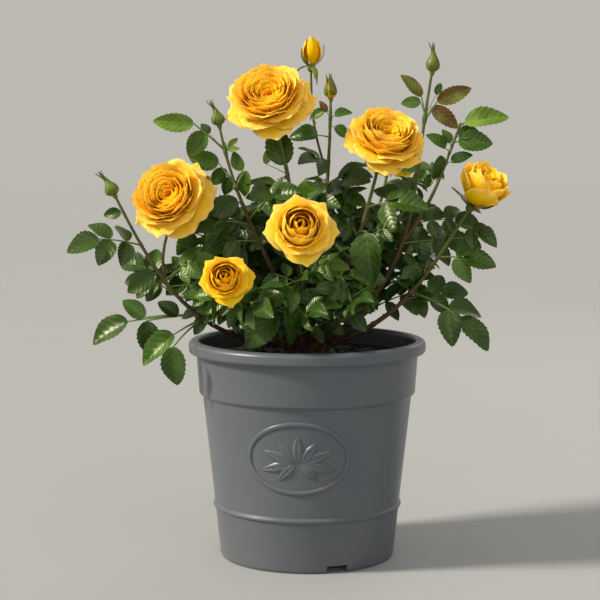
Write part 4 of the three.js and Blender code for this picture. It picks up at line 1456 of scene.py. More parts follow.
# Each form's petals along their spiral from the outermost in. A row is a share of the way, the rim's
# reach and height as shares of the flower's radius, the angles at foot and rim, the width as a share of
# the radius, how much flatter than a circle the section is, and how far the rim rolls back
PETALS = {
    Form.FULL: (
        (0.00, 1.00, 0.16, 62, 122, 1.00, 0.30, 0.5),
        (0.09, 1.00, 0.35, 58, 110, 1.02, 0.28, 0.6),
        (0.17, 0.95, 0.55, 56, 90, 1.02, 0.22, 0.7),
        (0.25, 0.87, 0.73, 58, 66, 1.06, 0.14, 0.8),
        (0.33, 0.78, 0.88, 62, 42, 1.14, 0.08, 0.7),
        (0.44, 0.66, 0.96, 62, 24, 1.18, 0.04, 0.5),
        (0.56, 0.52, 0.98, 58, 13, 1.16, 0.02, 0.4),
        (0.70, 0.38, 0.94, 50, 6, 1.00, 0.00, 0.3),
        (0.85, 0.24, 0.86, 40, 2, 0.76, 0.00, 0.2),
        (1.00, 0.09, 0.74, 14, -4, 0.40, 0.00, 0.0),
    ),
    Form.HIGH: (
        (0.00, 1.00, 0.12, 62, 116, 1.10, 0.30, 0.9),
        (0.14, 0.96, 0.34, 58, 100, 1.10, 0.28, 0.9),
        (0.24, 0.86, 0.56, 56, 80, 1.10, 0.20, 0.9),
        (0.36, 0.66, 0.80, 60, 32, 1.14, 0.08, 0.8),
        (0.44, 0.54, 0.86, 64, -6, 1.24, 0.02, 0.4),
        (0.54, 0.44, 0.95, 66, -26, 1.16, 0.00, 0.2),
        (0.70, 0.30, 1.01, 58, -34, 1.00, 0.00, 0.1),
        (0.86, 0.15, 1.04, 42, -24, 0.70, 0.00, 0.0),
        (1.00, 0.03, 1.06, 14, -6, 0.40, 0.00, 0.0),
    ),
    Form.HALF: (
        (0.00, 0.98, 1.06, 62, 40, 1.30, 0.10, 1.1),
        (0.20, 0.88, 1.24, 62, 16, 1.30, 0.00, 0.9),
        (0.45, 0.66, 1.36, 60, 0, 1.30, 0.00, 0.5),
        (0.70, 0.42, 1.36, 52, -10, 1.04, 0.00, 0.3),
        (1.00, 0.10, 1.28, 16, -10, 0.44, 0.00, 0.1),
    ),
}
# Each form's number of petals, their ruffle, point and notch, and how much they vary
RIMS = {
    Form.FULL: (50, 0.036, 0.02, 0.016, 0.9),
    Form.HIGH: (28, 0.024, 0.085, 0.005, 0.9),
    Form.HALF: (18, 0.022, 0.05, 0.005, 0.8),
}
# The sepals under a half-open and an open flower: how much longer they are, their width, and their
# angles off the axis at foot and tip
HALF_OPEN_CALYX = (1.4, 13.0, 86, (46, 50, 84, 44, 70))
OPEN_CALYX = (1.0, 7.0, 84, (142, 130, 150, 138, 146))
CALYX_SHARE = 0.13
YOUNG_RADIUS = 28


@dataclass
class Flowers:
    """All the blooms and buds: their petals, hips, sepals and the green of their buds."""

    skeleton: Skeleton
    petal_maker: Corolla = field(default_factory=Corolla)
    sepal_maker: Corolla = field(default_factory=lambda: Corolla(rows=9, columns=5, thickness=0.5))
    sepal_turns: tuple = (8.0, 74, 151, 220, 287)
    sepal_shares: tuple = (0.62, 0.5, 0.66, 0.56, 0.6)
    clasp_turns: tuple = (0.0, 72, 144, 216, 288)
    slit_turns: tuple = (290.0, 0, 70, 142, 212)
    seed: int = 77

    def spiral(self, form: Form, radius: float, rng: Draws) -> Whorl:
        """A flower's petals on one spiral: petal k stands at 137.5 k degrees, and its sizes are those of
        the form's table at k / (count - 1), varied a little.

        Args:
            form: How far the flower is open.
            radius: The flower's radius.
            rng: The numbers that vary the petals.

        Returns:
            The petals.
        """
        count, ruffle, point, notch, loose = RIMS[form]
        share = np.linspace(0, 1, count)
        places, *columns = np.array(PETALS[form]).T
        sizes = (np.interp(share, places, column) for column in columns)
        reach, height, start, end, width, flat, roll = sizes
        vary = loose * rng.uniform(-1, 1, (5, count))
        taper = 1 - 0.85 * share
        outer = (1 - share) ** 3
        lifted = height + vary[1] * (0.03 * taper + 0.08 * outer)
        return Whorl(
            turn=GOLDEN_TURN * np.arange(count) + 8 * vary[2],
            foot=radius * np.stack([0.05 + 0.05 * (1 - share), 0.1 - 0.05 * (1 - share)], 1),
            rim=radius * np.stack([reach * (1 + 0.05 * vary[0]), lifted], 1),
            start=start,
            end=end + vary[3] * (8 * taper + 8 * outer),
            width=radius * width * (1 + 0.08 * vary[4]),
            flat=radius * flat,
            roll=roll,
            depth=1 - share,
            ruffle=radius * ruffle * (0.75 * taper + 0.4 * outer),
            point=point,
            notch=notch,
            tuck=0.01 * radius,
        )

    def bud_petals(self, bud: Bud, count: int = 6) -> Whorl:
        """The petals of a bud that shows colour, wrapped to an egg that closes at its point.

        Args:
            bud: The bud's sizes.
            count: How many petals it has.

        Returns:
            The petals.
        """
        share = np.linspace(0, 1, count)
        level = np.ones(count)
        return Whorl(
            turn=GOLDEN_TURN * np.arange(count) + 20,
            foot=np.stack([bud.radius * (0.4 - 0.25 * share), bud.length * 0.06 * level], 1),
            rim=np.stack([bud.radius * (0.66 - 0.54 * share), bud.length * (0.88 + 0.12 * share)], 1),
            start=54 - 34 * share,
            end=-20 + 14 * share,
            width=bud.radius * (2.1 - 1.1 * share),
            flat=0 * level,
            roll=0.5 * (1 - share),
            depth=0.85 - 0.5 * share,
            ruffle=0.3 * level,
            point=0.04,
        )

    def hip(self, radius: float, length: float) -> Surface:
        """The green hip under a flower: an egg-shaped swelling, r sqrt(1 - x^2) for x from -1 to 1.

        Args:
            radius: Its greatest radius.
            length: Its length.

        Returns:
            The hip.
        """
        x = np.sin(np.linspace(-pi / 2, pi / 2, 14))
        profile = np.stack([radius * np.sqrt(np.clip(1 - x**2, 0, 1)), length * x / 2], 1)
        profile[[0, -1], 0] = 0
        made = lathe(profile, 20)
        made.uv[:] = [0.2, 0.5]
        return made

    def whorl_of_five(self, turns: Sequence, width: float, ruffle: float, **lines: Array) -> Whorl:
        """Five sepals as lances.

        Args:
            turns: Their turns about the axis.
            width: Their greatest width.
            ruffle: How far their rims wave.
            lines: The feet, rims and angles of their middle lines, or their path.

        Returns:
            The sepals.
        """
        level = np.ones(5)
        return Whorl(
            turn=np.array(turns),
            width=width * level,
            flat=0.5 * level,
            roll=0 * level,
            depth=0.5 * level,
            ruffle=ruffle * level,
            lance=True,
            **lines,
        )

    def sepals(self, length: Array, width: float, start: Sequence, end: Sequence, foot: float) -> Whorl:
        """Five sepals about the axis, each a lance whose rim lies in the mean of its two angles.

        Args:
            length: Each sepal's length.
            width: Their greatest width.
            start: Each one's angle off the axis at its foot.
            end: Each one's angle off the axis at its tip.
            foot: How far from the axis they start.

        Returns:
            The sepals.
        """
        start, end = np.array(start, float), np.array(end, float)
        mean = np.radians((start + end) / 2)
        feet = np.tile([foot, 0.0], (5, 1))
        rims = feet + 0.9 * length[:, None] * np.stack([np.sin(mean), np.cos(mean)], 1)
        lines = {"foot": feet, "rim": rims, "start": start, "end": end}
        return self.whorl_of_five(self.sepal_turns, width, 0.5, **lines)

    def closed_bud(self, bud: Bud, rng: Draws) -> list[Surface]:
        """A closed bud: an egg that narrows to its point, and five sepals that clasp it and run on past
        it in wisps that lean to one side. The egg's radius is sin(pi t^0.62)^0.8 of its width.

        Args:
            bud: The bud's sizes.
            rng: The numbers that vary its sepals.

        Returns:
            The egg, the hip under it and the sepals.
        """
        t = np.linspace(0, 1, 18)
        swell = np.sin(pi * t**0.62) ** 0.8
        profile = np.stack([bud.radius * swell, 0.9 * bud.length * (t - 0.04)], 1)
        profile[[0, -1], 0] = 0
        egg = lathe(profile, 24)
        egg.uv[:] = [0.7 if bud.slit else 0.3, 0.2]
        egg.finish[:] = int(bud.slit)
        v = np.linspace(0, 1, 21)
        height = v * (bud.length * 0.75 + bud.sepal)
        clear = np.interp(height, profile[:, 1], profile[:, 0], right=0.0) + 0.5
        wisp = 2.6 * smooth((v - 0.6) / 0.4)
        path = np.stack([v, np.maximum(clear, 0.9) + wisp, height], 1)
        turns = np.array(self.slit_turns if bud.slit else self.clasp_turns) + rng.uniform(-6, 6, 5)
        clasp = self.whorl_of_five(turns, 1.3 * bud.radius, 0.25, path=path)
        sepals = self.sepal_maker.petals(clasp, rng)
        sepals.points[:, 0] -= 5 * smooth(sepals.points[:, 2] / bud.length - 0.6)
        return [egg, self.hip(bud.radius * 0.4, bud.radius * 1.5), sepals]

    def open_bud_green(self, bud: Bud, rng: Draws) -> list[Surface]:
        """The green of a bud that shows colour: its hip, and sepals that clasp it or bend down.

        Args:
            bud: The bud's sizes.
            rng: The numbers that vary its sepals.

        Returns:
            The hip and the sepals.
        """
        lengths = bud.length * np.array([0.85, 0.6, 0.85, 0.7, 0.95])
        start, end = (50, 108, 100, 56, 112), (-8, 168, 172, -6, 165)
        calyx = self.sepals(lengths, 7.5, start, end, bud.radius * 0.4)
        return [self.hip(bud.radius * 0.42, bud.radius * 1.3), self.sepal_maker.petals(calyx, rng)]

    def bloom_green(self, bloom: Bloom, rng: Draws) -> list[Surface]:
        """The green under an open flower: its hip, fuller under a half-open one, and its sepals.

        Args:
            bloom: The flower.
            rng: The numbers that vary its sepals.

        Returns:
            The hip and the sepals.
        """
        half_open = bloom.form is Form.HALF
        size = CALYX_SHARE * bloom.radius
        hip = self.hip(size, 2.4 * size)
        if half_open:
            hip.points = hip.points * [1.25, 1.25, 1.3] - [0, 0, size]
        longer, width, start, ends = HALF_OPEN_CALYX if half_open else OPEN_CALYX
        lengths = longer * (bloom.radius * np.array(self.sepal_shares))
        calyx = self.sepals(lengths, width, [start] * 5, ends, size * 0.6)
        return [hip, self.sepal_maker.petals(calyx, rng)]

    def build(self) -> None:
        """Makes each flower's petals, then all the hips, sepals and closed buds as one green piece."""
        rng = np.random.default_rng(self.seed)
        petal = PetalSkin("yellow_rose_petal", 0.62, 0.14).material()
        # The young petals' pale rim colour is also partly a painted highlight
        colours = {"heart": "#f2a600", "body": "#fac608", "rim": "#fbcc20", "pale_rim_and_highlight": "#fad04c"}
        young = PetalSkin("young_yellow_rose_petal", 0.55, 0.22, **colours, glow=0.0).material()
        green = GreenSkin("green_sepal", 0.42, 0.35).material()
        greens = []
        for bloom in BLOOMS:
            seat = self.skeleton.seat(bloom)
            petals = self.petal_maker.petals(self.spiral(bloom.form, bloom.radius, rng), rng)
            finish = young if bloom.radius < YOUNG_RADIUS else petal
            name = bloom.node.replace("bloom", "petals")
            make_piece(name, petals.moved(*seat), [finish], [bloom.node])
            greens += [part.moved(*seat) for part in self.bloom_green(bloom, rng)]
        for bud in BUDS:
            seat = self.skeleton.seat(bud)
            if bud.yellow:
                petals = self.petal_maker.petals(self.bud_petals(bud), rng)
                make_piece(f"petals_{bud.node}", petals.moved(*seat), [young], [bud.node])
            parts = self.open_bud_green(bud, rng) if bud.yellow else self.closed_bud(bud, rng)
            greens += [part.moved(*seat) for part in parts]
        nodes = [bud.node for bud in BUDS if not bud.yellow]
        make_piece("sepals_and_buds", joined(greens), [green, young], nodes)


# The leaves


@dataclass(frozen=True)
class Leaf:
    """A leaf by its place on a limb: share, turn, rise, stalk, number of leaflets, length of the end
    leaflet, tint, the end leaflet's own rise if it isn't the stalk's, and droop."""

    share: float
    turn: float
    rise: float
    stalk: float
    count: int
    size: float
    tint: Tint | None = None
    dip: float | None = None
    droop: float = 0.28


DARK, MID, BRIGHT, BRONZE = Tint
# The leaves that the photograph shows by themselves, each on its limb
NAMED_LEAVES = {
    "left": (
        Leaf(0.8, 205, 10, 44, 5, 34),
        Leaf(0.93, 180, 20, 3, 1, 18, dip=-8),
        Leaf(0.66, 190, 30, 6, 1, 34, DARK, dip=-35),
        Leaf(0.42, 182, -5, 70, 1, 43, DARK, dip=-24),
        Leaf(0.42, 182, -2, 53, 1, 28, MID, dip=39),
        Leaf(0.42, 184, -6, 52, 1, 36, DARK, dip=-97),
        Leaf(0.42, 190, 0, 20, 1, 24, DARK, dip=38),
        Leaf(0.39, 200, -25, 34, 1, 42, MID, dip=-34),
        Leaf(0.39, 234, -26, 52, 1, 40, DARK, dip=-93),
        Leaf(0.6, 352, 4, 28, 3, 28, DARK),
    ),
    "mid_left": (
        Leaf(0.91, 188, 40, 40, 1, 40, BRIGHT, dip=3),
        Leaf(0.905, 186, 43, 28, 1, 29, MID, dip=-57),
        Leaf(0.9, 182, 50, 24, 1, 13, DARK, dip=50),
        Leaf(0.89, 15, 70, 7, 3, 14, BRIGHT, dip=50),
        Leaf(0.755, 184, 54, 28, 1, 31, MID, dip=12),
        Leaf(0.75, 158, 58, 21, 1, 23, DARK, dip=-44),
        Leaf(0.75, 186, 60, 12, 1, 19, DARK, dip=-75),
        Leaf(0.75, 355, 68, 18, 1, 21, MID, dip=122),
        Leaf(0.75, 350, 60, 19, 1, 26, MID, dip=-95),
        Leaf(0.66, 192, 40, 6, 1, 37, DARK, dip=-17),
        Leaf(0.56, 192, 8, 32, 3, 33, DARK),
        Leaf(0.47, 196, 0, 32, 3, 30),
    ),
    "centre": (
        Leaf(0.79, 155, 60, 3, 1, 41, DARK, dip=70),
        Leaf(0.76, 182, 25, 24, 1, 16, BRIGHT, dip=100),
        Leaf(0.69, 235, 5, 30, 3, 36),
        Leaf(0.6, 320, 15, 30, 3, 30),
    ),
    "tall": (
        Leaf(0.95, 180, 20, 6, 1, 18, MID, dip=-25),
        Leaf(0.93, 182, 60, 7, 1, 14, BRONZE, dip=60),
        Leaf(0.93, 355, 30, 5, 1, 18, MID, dip=20),
        Leaf(0.9, 350, 0, 5, 1, 18, MID, dip=-35),
        Leaf(0.86, 182, 10, 12, 1, 30, DARK, dip=2),
        Leaf(0.76, 237, 12, 24, 3, 28),
        Leaf(0.66, 300, 15, 32, 3, 38),
    ),
    "right_centre": (
        Leaf(0.62, 280, 5, 32, 1, 50, DARK, dip=-76),
        Leaf(0.55, 300, 10, 34, 3, 38),
        Leaf(0.76, 318, 12, 34, 3, 36, DARK),
    ),
    "right": (
        Leaf(0.86, 356, 57, 23, 1, 37, BRONZE, dip=22),
        Leaf(0.86, 352, 62, 16, 1, 34, BRONZE, dip=-38),
        Leaf(0.88, 5, 60, 22, 1, 13, MID, dip=70),
        Leaf(0.87, 185, 80, 21, 1, 30, BRONZE, dip=51),
        Leaf(0.87, 180, 75, 16, 1, 20, MID, dip=-3),
        Leaf(0.6, 330, 0, 20, 3, 24),
    ),
    "upper_right": (
        Leaf(0.92, 355, 20, 5, 1, 45, BRIGHT, dip=15),
        Leaf(0.8, 352, 10, 5, 1, 35, MID, dip=1),
        Leaf(0.83, 10, 25, 4, 1, 22, MID, dip=25),
        Leaf(0.77, 185, 60, 4, 1, 16, MID, dip=67),
        Leaf(0.73, 190, 40, 6, 1, 24, MID, dip=42),
        Leaf(0.65, 200, 55, 9, 1, 26, DARK, dip=-76),
        Leaf(0.64, 350, 20, 6, 1, 23, DARK, dip=24),
    ),
    "far_right": (
        Leaf(0.9, 320, -10, 22, 3, 26),
        Leaf(0.73, 342, 0, 25, 3, 34, MID, dip=-8),
        Leaf(0.83, 345, 5, 14, 1, 20, MID, dip=-25),
        Leaf(0.5, 335, -22, 58, 3, 43, DARK, dip=-44),
        Leaf(0.5, 325, -14, 28, 1, 32, DARK, dip=172),
    ),
    "front": (Leaf(0.62, 235, -10, 40, 3, 34),),
    "front_low_left": (
        Leaf(0.7, 190, 22, 22, 1, 47, DARK, dip=-52),
        Leaf(0.85, 230, 30, 10, 1, 44, DARK, dip=-100),
    ),
}
# Leaves set by rule, as the shares where they start and end, how many, and the end leaflet's length
SPIRAL_LEAVES = {
    "left": (0.44, 0.76, 3, 35),
    "mid_left": (0.42, 0.7, 3, 35),
    "centre": (0.42, 0.64, 4, 31),
    "tall": (0.4, 0.66, 4, 31),
    "right_centre": (0.42, 0.66, 4, 29),
    "right": (0.42, 0.62, 3, 30),
    "far_right": (0.42, 0.62, 3, 30),
    "front": (0.44, 0.74, 3, 33),
    "front_left": (0.46, 0.76, 3, 33),
    "back_left": (0.42, 0.82, 6, 37),
    "back": (0.44, 0.8, 6, 37),
    "back_right": (0.42, 0.74, 6, 35),
    "upper_right": (0.12, 0.5, 3, 28),
    "left_front": (0.4, 0.9, 3, 26),
    "front_low_left": (0.3, 0.7, 3, 25),
    "front_low_right": (0.45, 1, 4, 26),
    "right_front": (0.5, 1, 3, 27),
    "right_back": (0.45, 1, 4, 28),
}
LOW_SPIRAL = (0.34, 1, 6, 32)
# The stretches of cane that show from the front, so that leaves set by rule stay off them
SHOWN_CANES = {
    "left": (0.22, 0.95),
    "mid_left": (0.34, 0.95),
    "right_centre": (0.5, 0.95),
    "right": (0.25, 0.9),
    "upper_right": (0.0, 0.9),
    "far_right": (0.2, 0.95),
}
# A leaflet pair's share of the stalk, its swing to the side and its size as a share of the end one's
LEAFLET_PAIRS = ((0.74, 52, 0.87), (0.36, 72, 0.74))
# How many of a flower's radii leaves by rule, and listed leaves, stay clear in front of its face
CLEAR_BY_RULE, CLEAR_BY_HAND = 2.6, 0.7
# The room that leaves keep out of: over the soil a radius and a height, at the wall, for listed leaves
# and then by rule, two radii and a height, and at a flower, for both and in its radii, a width, how far
# up its axis the room begins, and how far up it ends over a half-open one
SOIL_ROOM = (105, SOIL_Z + 3)
WALL_ROOM = ((110, 124, 225), (104, 124, 225))
FLOWER_ROOM = ((0.85, -0.12, 1.5), (1.02, -0.12, 1.5))
STALK_STEPS = np.linspace(0, 1, 7)


def leaf_width(t: Array) -> Array:
    """A leaflet's half width at t from foot to tip, t^0.55 (1 - t)^0.76 over its greatest value."""
    return t**0.55 * (1 - t) ** 0.76 / 0.415


@dataclass
class Sprays:
    """The leaves: those that the photograph shows by themselves, and between them others by rule, with
    finer twigs in their axils."""

    skeleton: Skeleton
    first_seed: int = 411
    seed_step: int = 97
    jitter: float = 30.0
    rise: float = 18.0
    stalk: float = 40.0
    stalk_radius: float = 0.026
    arch: float = 0.05
    half_width: float = 0.31
    young_width: float = 0.76
    fold: float = 0.13
    rows: tuple = (0.04, 0.13, 0.24, 0.36, 0.48, 0.6, 0.72, 0.84, 0.93)
    columns: tuple = (-1, -0.55, 0, 0.55, 1)
    axil_limit: float = 0.58
    low_axil_limit: float = 0.83
    view_gap: float = 5.0
    in_front: float = 4.0
    guards: list = field(default_factory=list)
    shown: Array | None = None
    leaflets: dict = field(default_factory=dict)
    stalks: list = field(default_factory=list)
    joints: dict = field(default_factory=dict)

    def __post_init__(self) -> None:
        """Keeps where the flowers and the canes that show are, to grow the leaves clear of them."""
        self.guards = [(*self.skeleton.seat(bloom), bloom.radius, bloom.form) for bloom in BLOOMS]
        self.leaflets = {tint: [] for tint in Tint}
        curves = self.skeleton.curves
        lines = [curves[name].at(np.linspace(*span, 24)) for name, span in SHOWN_CANES.items()]
        self.shown = np.concatenate(lines)

    def light_at(self, point: Array) -> Array:
        """The way a leaf's upper face looks: up, and out to the nearer of front and back."""
        side = 1 if point[1] > 45 else -1
        return unit(np.array([point[0] / 380 - 0.1, 0.82 * side, 0.55]))

    def in_the_way(self, points: Array, clear: float) -> bool:
        """Whether a leaf would stand in the soil, the pot's wall or a flower, or in front of a flower's
        face, or, if it is set by rule, before a cane that shows.

        Args:
            points: Points of the leaf.
            clear: How many of a flower's radii the room before its face reaches.

        Returns:
            Whether it would.
        """
        by_rule = clear > 1
        flat, z = np.hypot(points[:, 0], points[:, 1]), points[:, 2]
        reach, level = SOIL_ROOM
        inner, outer, top = WALL_ROOM[by_rule]
        if np.any((flat < reach) & (z < level)) or np.any((flat > inner) & (flat < outer) & (z < top)):
            return True
        wide, start, half_open = FLOWER_ROOM[by_rule]
        for turn, centre, radius, form in self.guards:
            local = (points - centre) @ turn / radius
            out, up = np.hypot(local[:, 0], local[:, 1]), local[:, 2]
            end = min(clear, half_open) if form is Form.HALF else clear
            if np.any((out < wide) & (up > start) & (up < end)):
                return True
        beyond = self.shown[None] - points[:, None]
        close = np.hypot(beyond[..., 0], beyond[..., 2]) < self.view_gap
        return by_rule and bool(np.any(close & (beyond[..., 1] > self.in_front)))

    def grow(self, base: Array, leaf: Leaf, random: Iterator[float], tint: Tint) -> None:
        """Lays out one pinnate leaf: its stalk's line and the place, ways and length of each leaflet.

        Args:
            base: Where it leaves its limb.
            leaf: Its turn, rise and sizes.
            random: The numbers that vary it.
            tint: Its green.
        """
        out = heading(leaf.turn, leaf.rise)
        light = self.light_at(base + out * leaf.stalk)
        face = unit(light - out * np.dot(light, out))
        left = np.cross(face, out)
        radius = self.stalk_radius * leaf.size
        arch = self.arch * leaf.stalk
        clear = CLEAR_BY_RULE if leaf.dip is None else CLEAR_BY_HAND
        specs = [(1.0, 0.0, 1.0, 1)]
        for share, swing, scale in LEAFLET_PAIRS[: (leaf.count - 1) // 2]:
            specs += [(share, swing, scale, 1), (share, swing, scale, -1)]
        kept = []
        for share, swing, scale, side in specs:
            along = spun(out, face, side * swing + 10 * (next(random) - 0.5))
            along = unit(along - UP * leaf.droop * (0.6 + 0.8 * next(random)))
            if leaf.dip is not None and share == 1.0:
                along = heading(leaf.turn, leaf.dip)
            upper = unit(face - along * np.dot(face, along))
            upper = spun(upper, along, 26 * (next(random) - 0.5))
            lifted = face * arch * np.sin(pi * share)
            foot = base + out * share * leaf.stalk + lifted + left * (side * radius if share < 1 else 0)
            length = leaf.size * scale
            across = np.cross(upper, along)
            widest = 0.45 * along
            ways = [0.5 * along, along, widest + 0.33 * across, widest - 0.33 * across, 0.2 * along]
            if not self.in_the_way(foot + length * np.stack(ways), clear):
                kept.append((foot, along, upper, length, next(random), next(random)))
        line = base + out * leaf.stalk * STALK_STEPS[:, None]
        if not kept or self.in_the_way(line[2:], clear):
            return
        self.leaflets[tint] += kept
        self.stalks.append((line + face * arch * np.sin(pi * STALK_STEPS)[:, None], radius))

    def tint_for(self, leaf: Leaf, name: str, share: float, random: Iterator[float]) -> Tint:
        """A leaf's own tint, or one by chance: bright near the tips, and dark low down, where the dark
        green is partly painted shade.

        Args:
            leaf: The leaf.
            name: Its limb.
            share: Its place on the limb.
            random: The numbers that decide.

        Returns:
            The tint.
        """
        if leaf.tint:
            return leaf.tint
        low = name in LOW_SHOOTS
        chance = next(random) + 0.55 * (share - 0.6) + (0.3 if name == "upper_right" else 0)
        if chance > 1.0 and share > 0.7 and not low:
            return BRIGHT
        # Low shoots mostly get the dark green, partly as painted shade under the canopy
        return DARK if chance < (1.05 if low else 0.82) else MID

    def grow_mass(self, name: str, seed: int) -> None:
        """Grows one mass: its placed leaves, its leaves by rule, and a twig with two small leaves in the
        axil after each of those low down. It notes where leaves left the limb.

        Args:
            name: The limb that carries it.
            seed: The number that sets it.
        """
        curve = self.skeleton.curves[name]
        random, shade = seeded(seed), seeded(seed + 7)
        named = NAMED_LEAVES.get(name, ())
        for leaf in named:
            self.grow(curve.at(leaf.share), leaf, shade, self.tint_for(leaf, name, leaf.share, shade))
        start, end, count, size = SPIRAL_LEAVES.get(name, LOW_SPIRAL)
        axil_limit = self.low_axil_limit if name in LOW_SHOOTS else self.axil_limit
        first_turn = 360 * next(random)
        shares = []
        for i in range(count):
            share = start + (end - start) * (i + 0.3) / count
            turn = first_turn + GOLDEN_TURN * i + self.jitter * (next(random) - 0.5)
            rise = self.rise + self.jitter * (next(random) - 0.5)
            scale = 0.85 + 0.3 * next(random)
            leaf = Leaf(share, turn, rise, self.stalk * scale, 5, size * scale)
            grown = len(self.stalks)
            self.grow(curve.at(share), leaf, shade, self.tint_for(leaf, name, share, shade))
            if len(self.stalks) > grown:
                shares.append(share)
            if share < axil_limit:
                axil = min(share + 0.5 * (end - start) / count, 0.96)
                self.grow_axil(name, axil, turn + 180, size, shade)
        self.joints[name] = [leaf.share for leaf in named] + shares

    def grow_axil(self, name: str, share: float, turn: float, size: float, shade: Iterator) -> None:
        """A short twig that leaves a limb and carries a small leaf at its tip and one half-way. A twig
        with no leaf isn't kept.

        Args:
            name: The limb.
            share: Where the twig leaves it.
            turn: The way it goes, about.
            size: The length of the end leaflets of the limb's own leaves.
            shade: The numbers that vary it.
        """
        length = 16 + 12 * next(shade)
        out = heading(turn + 50 * (next(shade) - 0.5), 38)
        base = self.skeleton.curves[name].at(share)
        line = base + out * length * STALK_STEPS[:, None]
        if self.in_the_way(line[1:], CLEAR_BY_RULE):
            return
        self.stalks.append((line, 1.0))
        grown = len(self.stalks)
        for place, swing in ((1.0, 0), (0.5, 95)):
            small = size * (0.62 + 0.2 * next(shade))
            leaf = Leaf(share, turn + swing, 12 + 20 * next(shade), 0.8 * small, 5, small)
            self.grow(base + out * length * place, leaf, shade, self.tint_for(leaf, name, share, shade))
        if len(self.stalks) == grown:
            self.stalks.pop()

    def blades(self, leaflets: Sequence[tuple], slimness: float) -> Surface:
        """Leaflets as thin closed blades of a few dozen faces with toothed rims.

        A blade folds up to both sides of its rib, bends down by t squared from foot to tip, and waves
        along its rim, which has a tooth between two rows. Its points are the rows', the foot and the
        tip, the lower side's rib, and the teeth on both sides.

        Args:
            leaflets: Each leaflet's foot, way, upper face, length and two numbers that vary it.
            slimness: Their width as a share of a full-grown leaflet's.

        Returns:
            The leaflets as one surface, the upper faces with finish 0 and the lower with finish 1.
        """
        foot, along, upper = (np.stack([leaflet[i] for leaflet in leaflets]) for i in range(3))
        length, first, second = (np.array([leaflet[i] for leaflet in leaflets]) for i in range(3, 6))
        rows, across_row = np.array(self.rows), len(self.columns)
        count = len(rows)
        ends = np.concatenate([[0.0], rows, [0.985]])
        tooth = ends[:-1] + 0.74 * np.diff(ends)
        tooth_width = 1.03 + 0.09 * np.sin(pi * np.clip(tooth, 0.1, 0.9))
        t = np.concatenate([np.repeat(rows, across_row), [0.0, 1.0], rows, tooth, tooth])
        u = np.tile(self.columns, count)
        u = np.concatenate([u, [0, 0], np.zeros(count), -tooth_width, tooth_width])
        below = np.repeat([0, 0.02, 0.012], [across_row * count + 2, count, 2 * len(tooth)])
        slim = (slimness * self.half_width * (0.92 + 0.18 * first))[:, None]
        w = leaf_width(np.clip(t, 0, 1))
        aside = slim * w * u
        bend = (0.1 + 0.22 * second)[:, None]
        fold = (self.fold * (0.6 + 0.9 * second))[:, None]
        wave = 0.02 * np.sin(9 * t + 6.3 * first[:, None]) * u**2
        lift = fold * np.abs(aside) / 0.33 - bend * t**2 + wave - below
        across = np.cross(upper, along)[:, None]
        ways = t[:, None] * along[:, None] + aside[..., None] * across + lift[..., None] * upper[:, None]
        points = foot[:, None] + length[:, None, None] * ways
        uv = np.stack([0.5 + 0.5 * u * w, t], -1)
        pattern, finish = self.blade_faces()
        return repeated(points, pattern, np.broadcast_to(uv, (len(leaflets), *uv.shape)), finish)

    def blade_faces(self) -> tuple[Array, Array]:
        """The triangles of a leaflet: on the upper side strips between the rows, and fans at foot and
        tip, at each rim a tooth, and on the lower side fans from the rib to the rims and teeth.

        Returns:
            The triangles, and for each whether it is on the lower side.
        """
        count, wide = len(self.rows), len(self.columns)
        start, tip, lower = wide * count, wide * count + 1, wide * count + 2
        left, right = lower + count, lower + 2 * count + 1
        last = wide * (count - 1)
        top = [tuple(face) for face in grid_triangles(count, wide)]
        for c in range(wide - 1):
            top += [(start, c + 1, c), (last + c, last + c + 1, tip)]
        under = []
        ribs = [start, *range(lower, lower + count), tip]
        rims = ([start, *range(edge, wide * count, wide), tip] for edge in (0, wide - 1))
        for rim, teeth, side in zip(rims, (left, right), (1, -1)):
            for k in range(count + 1):
                low, high, tooth = ribs[k], ribs[k + 1], teeth + k
                top.append((rim[k], rim[k + 1], tooth)[::side])
                fan = [(low, tooth, rim[k]), (low, high, tooth), (high, rim[k + 1], tooth)]
                under += [face[::side] for face in fan if len(set(face)) == 3]
        faces = np.concatenate([np.array(top)[:, ::-1], np.array(under)])
        return faces, np.repeat([0, 1], [len(top), len(under)])

    def build(self) -> None:
        """Grows every mass, then makes a piece of leaves for each tint and one of their stalks."""
        masses = self.skeleton.masses
        for i, name in enumerate(masses):
            self.grow_mass(name, self.first_seed + self.seed_step * i)
        nodes = [f"foliage_{name}" for name in masses]
        under = UNDERSIDE.material()
        for tint, leaflets in self.leaflets.items():
            made = self.blades(leaflets, self.young_width if tint in (BRONZE, BRIGHT) else 1.0)
            skins = [tint.value.material(), under]
            make_piece(f"leaves_{tint.name.lower()}", made, skins, nodes)
        paths = np.stack([line for line, _ in self.stalks])
        radii = np.array([radius for _, radius in self.stalks])[:, None] * np.linspace(1.2, 0.75, 7)
        shares = np.broadcast_to(np.linspace(0.62, 0.95, 7), radii.shape)
        greens = {"old": "#6d4a33", "middle": "#6b6436", "young": "#65803a"}
        stalk = Cane("green_leaf_stalk", 0.5, **greens).material()
        make_piece("leaf_stalks", tubes(paths, radii, 5, shares), [stalk], nodes)


# Camera, floor and light


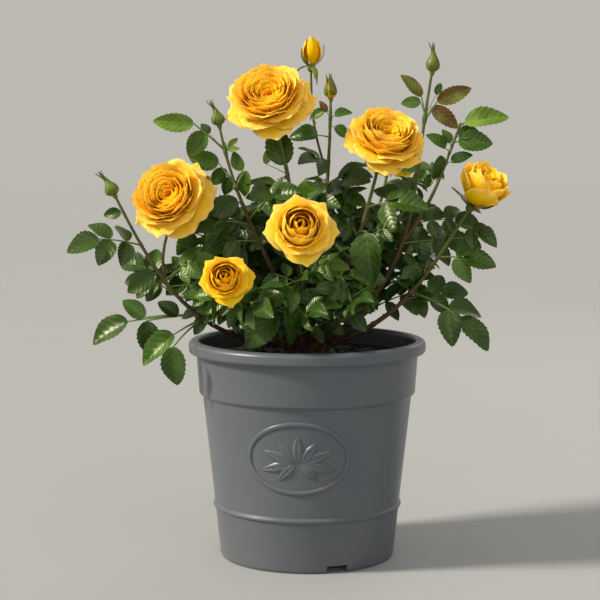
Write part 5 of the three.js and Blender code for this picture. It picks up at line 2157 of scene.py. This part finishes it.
@dataclass
class Studio:
    """A pale floor, soft light from the upper left and the camera at the photograph's place. Its places
    and sizes are metres."""

    camera_place: Triple = (-0.00727, -1.77955, 0.45125)
    pitch: float = 6.119
    lens: float = 106.16
    sensor: float = 36.0
    plant_middle: Triple = (0, 0, 0.28)
    floor_half: float = 9.0
    air_colour: str = "#e6e2da"
    air_strength: float = 0.64

    def camera(self) -> None:
        """The camera, looking along +Y and a little down."""
        data = bpy.data.cameras.new("camera")
        data.sensor_width, data.lens = self.sensor, self.lens
        made = in_scene("camera", data)
        made.location = self.camera_place
        made.rotation_euler = (radians(90 - self.pitch), 0, 0)
        bpy.context.scene.camera = made

    def light(self, kind: str, place: Sequence[float], power: float, colour: str, **size: float) -> None:
        """A light that faces the middle of the plant.

        Args:
            kind: Blender's name for its kind.
            place: Where it stands.
            power: Its strength.
            colour: Its colour, as sRGB hex.
            size: The angle of a sun's disc, or the side of a square light.
        """
        data = bpy.data.lights.new(kind.lower(), kind)
        data.energy, data.color = power, linear(colour)[:3]
        for name, value in size.items():
            setattr(data, name, value)
        made = in_scene(kind.lower(), data)
        made.location = place
        aim = Vector(self.plant_middle) - Vector(place)
        made.rotation_euler = aim.to_track_quat("-Z", "Y").to_euler()

    def floor(self) -> None:
        """A wide flat floor under the pot."""
        half = self.floor_half
        mesh = bpy.data.meshes.new("floor")
        corners = [(x * half, y * half, 0) for x, y in ((-1, -1), (1, -1), (1, 1), (-1, 1))]
        mesh.from_pydata(corners, [], [(0, 1, 2, 3)])
        mesh.materials.append(PaleFloor("pale_floor", 0.7).material())
        in_scene("floor", mesh)

    def air(self) -> None:
        """Even light from all around."""
        world = bpy.data.worlds.new("air")
        world.use_nodes = True
        glow = world.node_tree.nodes["Background"]
        feed(world.node_tree, glow, {0: linear(self.air_colour), 1: self.air_strength})
        bpy.context.scene.world = world

    def build(self) -> None:
        """Makes the floor, the lights and the camera."""
        bpy.context.scene.view_settings.view_transform = "Standard"
        self.floor()
        self.air()
        self.light("SUN", (-2.0, -0.5, 1.9), 4.2, "#fff4e4", angle=radians(10))
        self.light("AREA", (0.5, -1.9, 1.6), 7, "#f6f6ff", size=1.2)
        self.light("AREA", (0.9, 1.5, 1.4), 3.5, "#fff6ea", size=0.9)
        self.camera()


def main() -> None:
    """Builds the pot, the compost, the plant and the studio."""
    logging.basicConfig(level=logging.INFO, format="%(name)s: %(message)s")
    Pot().build()
    Compost().build()
    skeleton = Skeleton()
    sprays = Sprays(skeleton)
    sprays.build()
    Wood(skeleton).build(sprays.joints)
    Flowers(skeleton).build()
    Studio().build()


if __name__ == "__main__":
    main()
